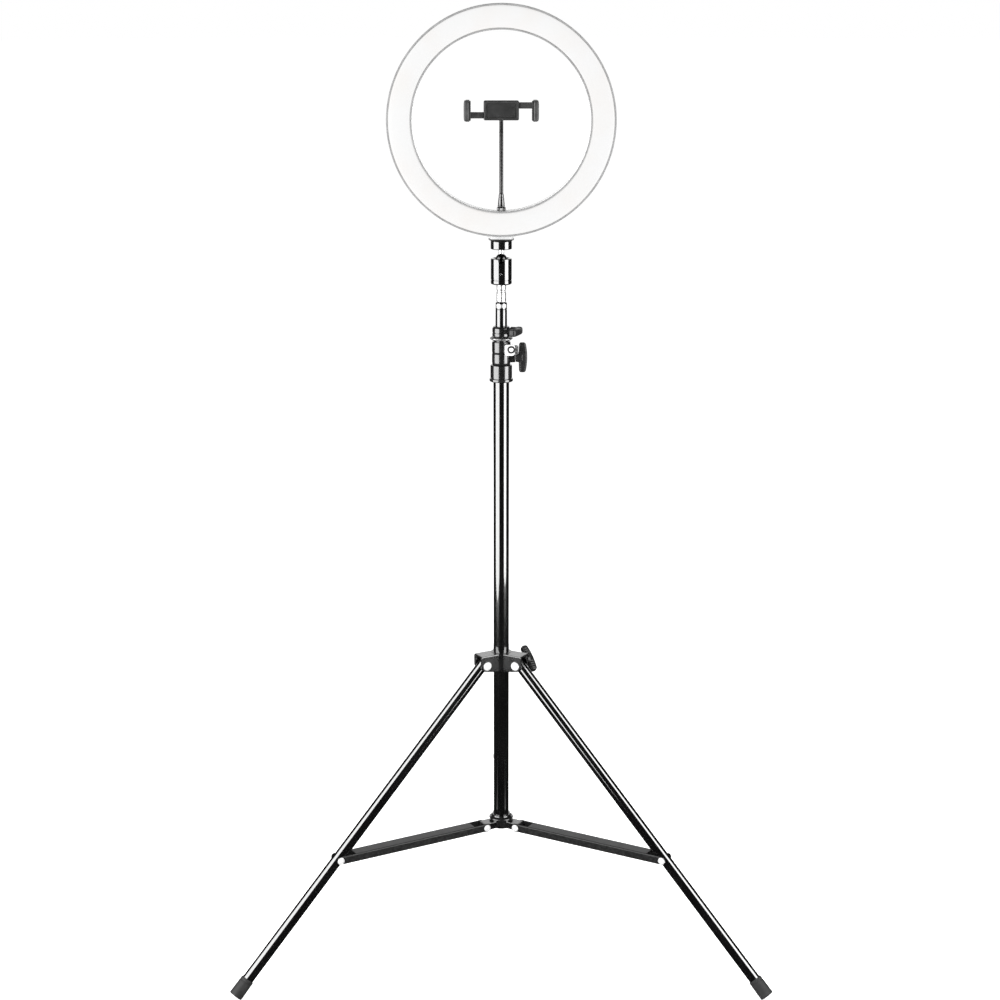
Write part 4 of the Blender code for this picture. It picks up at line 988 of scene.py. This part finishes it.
def build_brace(name, azimuth):
    pivot = side(azimuth, PIVOT_R, HUB_PIVOT_Z)
    length = BRACE_PIVOT * sin(LEG_ANGLE)
    wide, high, sheet = 0.0085, 0.0048, 0.0012
    inner, way = wide - sheet, HEAD_SIDE[name]
    section = rounded([
        (-wide, -high), (-wide, high, 0.0016), (wide, high, 0.0016), (wide, -high), (inner, -high),
        (inner, high - sheet, 0.0006), (-inner, high - sheet, 0.0006), (-inner, -high)], steps=5)
    brace = prism("brace_channel_" + name, section, (-0.02, length + 0.02), pivot @ about("Z", -90))
    ends = arc_xz((0, 0), high, 90, 270) + arc_xz((length, 0), high, 270, 450)
    combine(brace, "INTERSECT", prism("tool", ends, 0.02, pivot))
    windows = [box("tool", (low, -inner, -0.0001), (far, inner, 0.02), pivot) for low, far in
               ((-0.02, 0.0170), (length - 0.0205, length + 0.02))]
    holes = [rod(0.0024, -0.012, 0.012, pivot @ TO_FRONT, 32)]
    cut(brace, *windows, *holes)
    piece(soften(brace, 0.00022), "dark_sheet", "brace_" + name, angle=30)
    bolt("hub_pivot_bolt_" + name, "hub_bolt_" + name, pivot @ about("X", -90 * way), 0.0021,
         wide, 0.0042)
    outer = pivot @ Matrix.Translation((length, 0, 0)) @ about("X", -90 * way)
    pin = lathe("brace_rivet_" + name, [
        (0, wide + 0.0027), (0.0022, wide + 0.0023, 0.0010), (0.0042, wide + 0.0009, 0.0004),
        (0.0042, wide + 0.0001), (0.0021, wide + 0.0001), (0.0021, inner + 0.0001),
        (0, inner + 0.0001),
    ], outer, 64)
    tail = lathe("tail", [(0, -wide - 0.0014), (0.0018, -wide - 0.0013, 0.0006),
                          (0.0026, -wide - 0.0004, 0.0002), (0.0026, -wide + 0.0004),
                          (0, -wide + 0.0004)], outer, 48)
    piece(merged("brace_rivet_" + name, [pin, tail]), "zinc", "brace_pin_" + name)


# ---------------------------------------------------------------- building
build_ring()
build_phone_arm()
build_clamp()
build_head()
build_stand()
build_crown()
build_hub()
for leg_name, leg_azimuth in LEGS.items():
    build_leg(leg_name, leg_azimuth)
    build_brace(leg_name, leg_azimuth)
for node, look in {"led_board": "board", "neck_insert": "brass", "upper_screw": "screw_chrome",
                   "lower_screw": "screw_chrome", "crown_screw": "screw_chrome"}.items():
    kept = frame["nodes"][node]
    for material_slot in kept.material_slots:
        material_slot.material = LOOK[look]


# ---------------------------------------------------------------- stage, light and camera
def stage_material():
    material, tree, shader = graph("floor")
    shader.inputs["Base Color"].default_value = (0.86, 0.86, 0.86, 1)
    shader.inputs["Emission Color"].default_value = (1, 1, 1, 1)
    shader.inputs["Emission Strength"].default_value = 0.80
    fine = noise_on_node(tree, 8 * MM)
    tree.links.new(spread(tree, fine, 0.75, 0.9), shader.inputs["Roughness"])
    return material


floor_mesh = bmesh.new()
bmesh.ops.create_circle(floor_mesh, cap_ends=True, segments=96, radius=30.0)
floor = new_object("floor", floor_mesh)
floor.data.materials.append(stage_material())
floor.visible_glossy = False


def softbox(name, first, last, low, high, power):
    """A soft upright light between two places on plan, facing the stand."""
    first, last = AXIS.xy + Vector(first), AXIS.xy + Vector(last)
    middle = (first + last) / 2
    data = bpy.data.lights.new(name, "AREA")
    data.shape = "RECTANGLE"
    data.size = (last - first).length
    data.size_y = high - low
    data.energy = power
    light = bpy.data.objects.new(name, data)
    bpy.context.scene.collection.objects.link(light)
    place = Vector((middle.x, middle.y, (low + high) / 2))
    along = (last - first).to_3d().normalized()
    facing = along.cross(Vector((0, 0, 1)))
    if facing.dot(place - AXIS) < 0:
        facing, along = -facing, -along
    light.matrix_world = Matrix((along, facing.cross(along), facing)).transposed().to_4x4()
    light.location = place
    return light


def polar(distance, azimuth):
    """A place on plan: azimuth 0 is straight in front, positive to the right."""
    return (distance * sin(radians(azimuth)), -distance * cos(radians(azimuth)))


KEY_AWAY, KEY_LOW, KEY_HIGH = 1.30, 0.09, 1.70
softbox("key_left", polar(KEY_AWAY, -29), polar(KEY_AWAY, -87), KEY_LOW, KEY_HIGH, 34)
softbox("key_right", polar(KEY_AWAY, 41), polar(KEY_AWAY, 79), KEY_LOW, KEY_HIGH, 27)
backdrop = softbox("backdrop", (-1.9, 2.8), (1.9, 2.8), 0.30, 2.60, 28)
backdrop.visible_camera = False

world = bpy.data.worlds.new("studio")
bpy.context.scene.world = world
world.use_nodes = True
tree = world.node_tree
tree.nodes.clear()
path = tree.nodes.new("ShaderNodeLightPath")
output = tree.nodes.new("ShaderNodeOutputWorld")
shades = {}
for name, value in (("seen", 1.0), ("ambient", 0.30), ("mirrored", 0.012)):
    shades[name] = tree.nodes.new("ShaderNodeBackground")
    shades[name].inputs["Color"].default_value = (value, value, value, 1)
gloss = tree.nodes.new("ShaderNodeMixShader")
tree.links.new(path.outputs["Is Glossy Ray"], gloss.inputs[0])
tree.links.new(shades["ambient"].outputs[0], gloss.inputs[1])
tree.links.new(shades["mirrored"].outputs[0], gloss.inputs[2])
seen = tree.nodes.new("ShaderNodeMixShader")
tree.links.new(path.outputs["Is Camera Ray"], seen.inputs[0])
tree.links.new(gloss.outputs[0], seen.inputs[1])
tree.links.new(shades["seen"].outputs[0], seen.inputs[2])
tree.links.new(seen.outputs[0], output.inputs["Surface"])

SENSOR_MM, LENS_MM, CAMERA_DOWN = 36.0, 76.85, 14.2955
CAMERA_PLACE = Vector((-0.00148, -2.4557, 1.18306))       # from the foot of the stand's axis
camera_data = bpy.data.cameras.new("camera")
camera_data.sensor_width = SENSOR_MM
camera_data.lens = LENS_MM
camera = bpy.data.objects.new("camera", camera_data)
bpy.context.scene.collection.objects.link(camera)
camera.location = AXIS + CAMERA_PLACE
camera.rotation_euler = (radians(90 - CAMERA_DOWN), 0, 0)
bpy.context.scene.camera = camera
bpy.context.scene.view_settings.view_transform = "Standard"
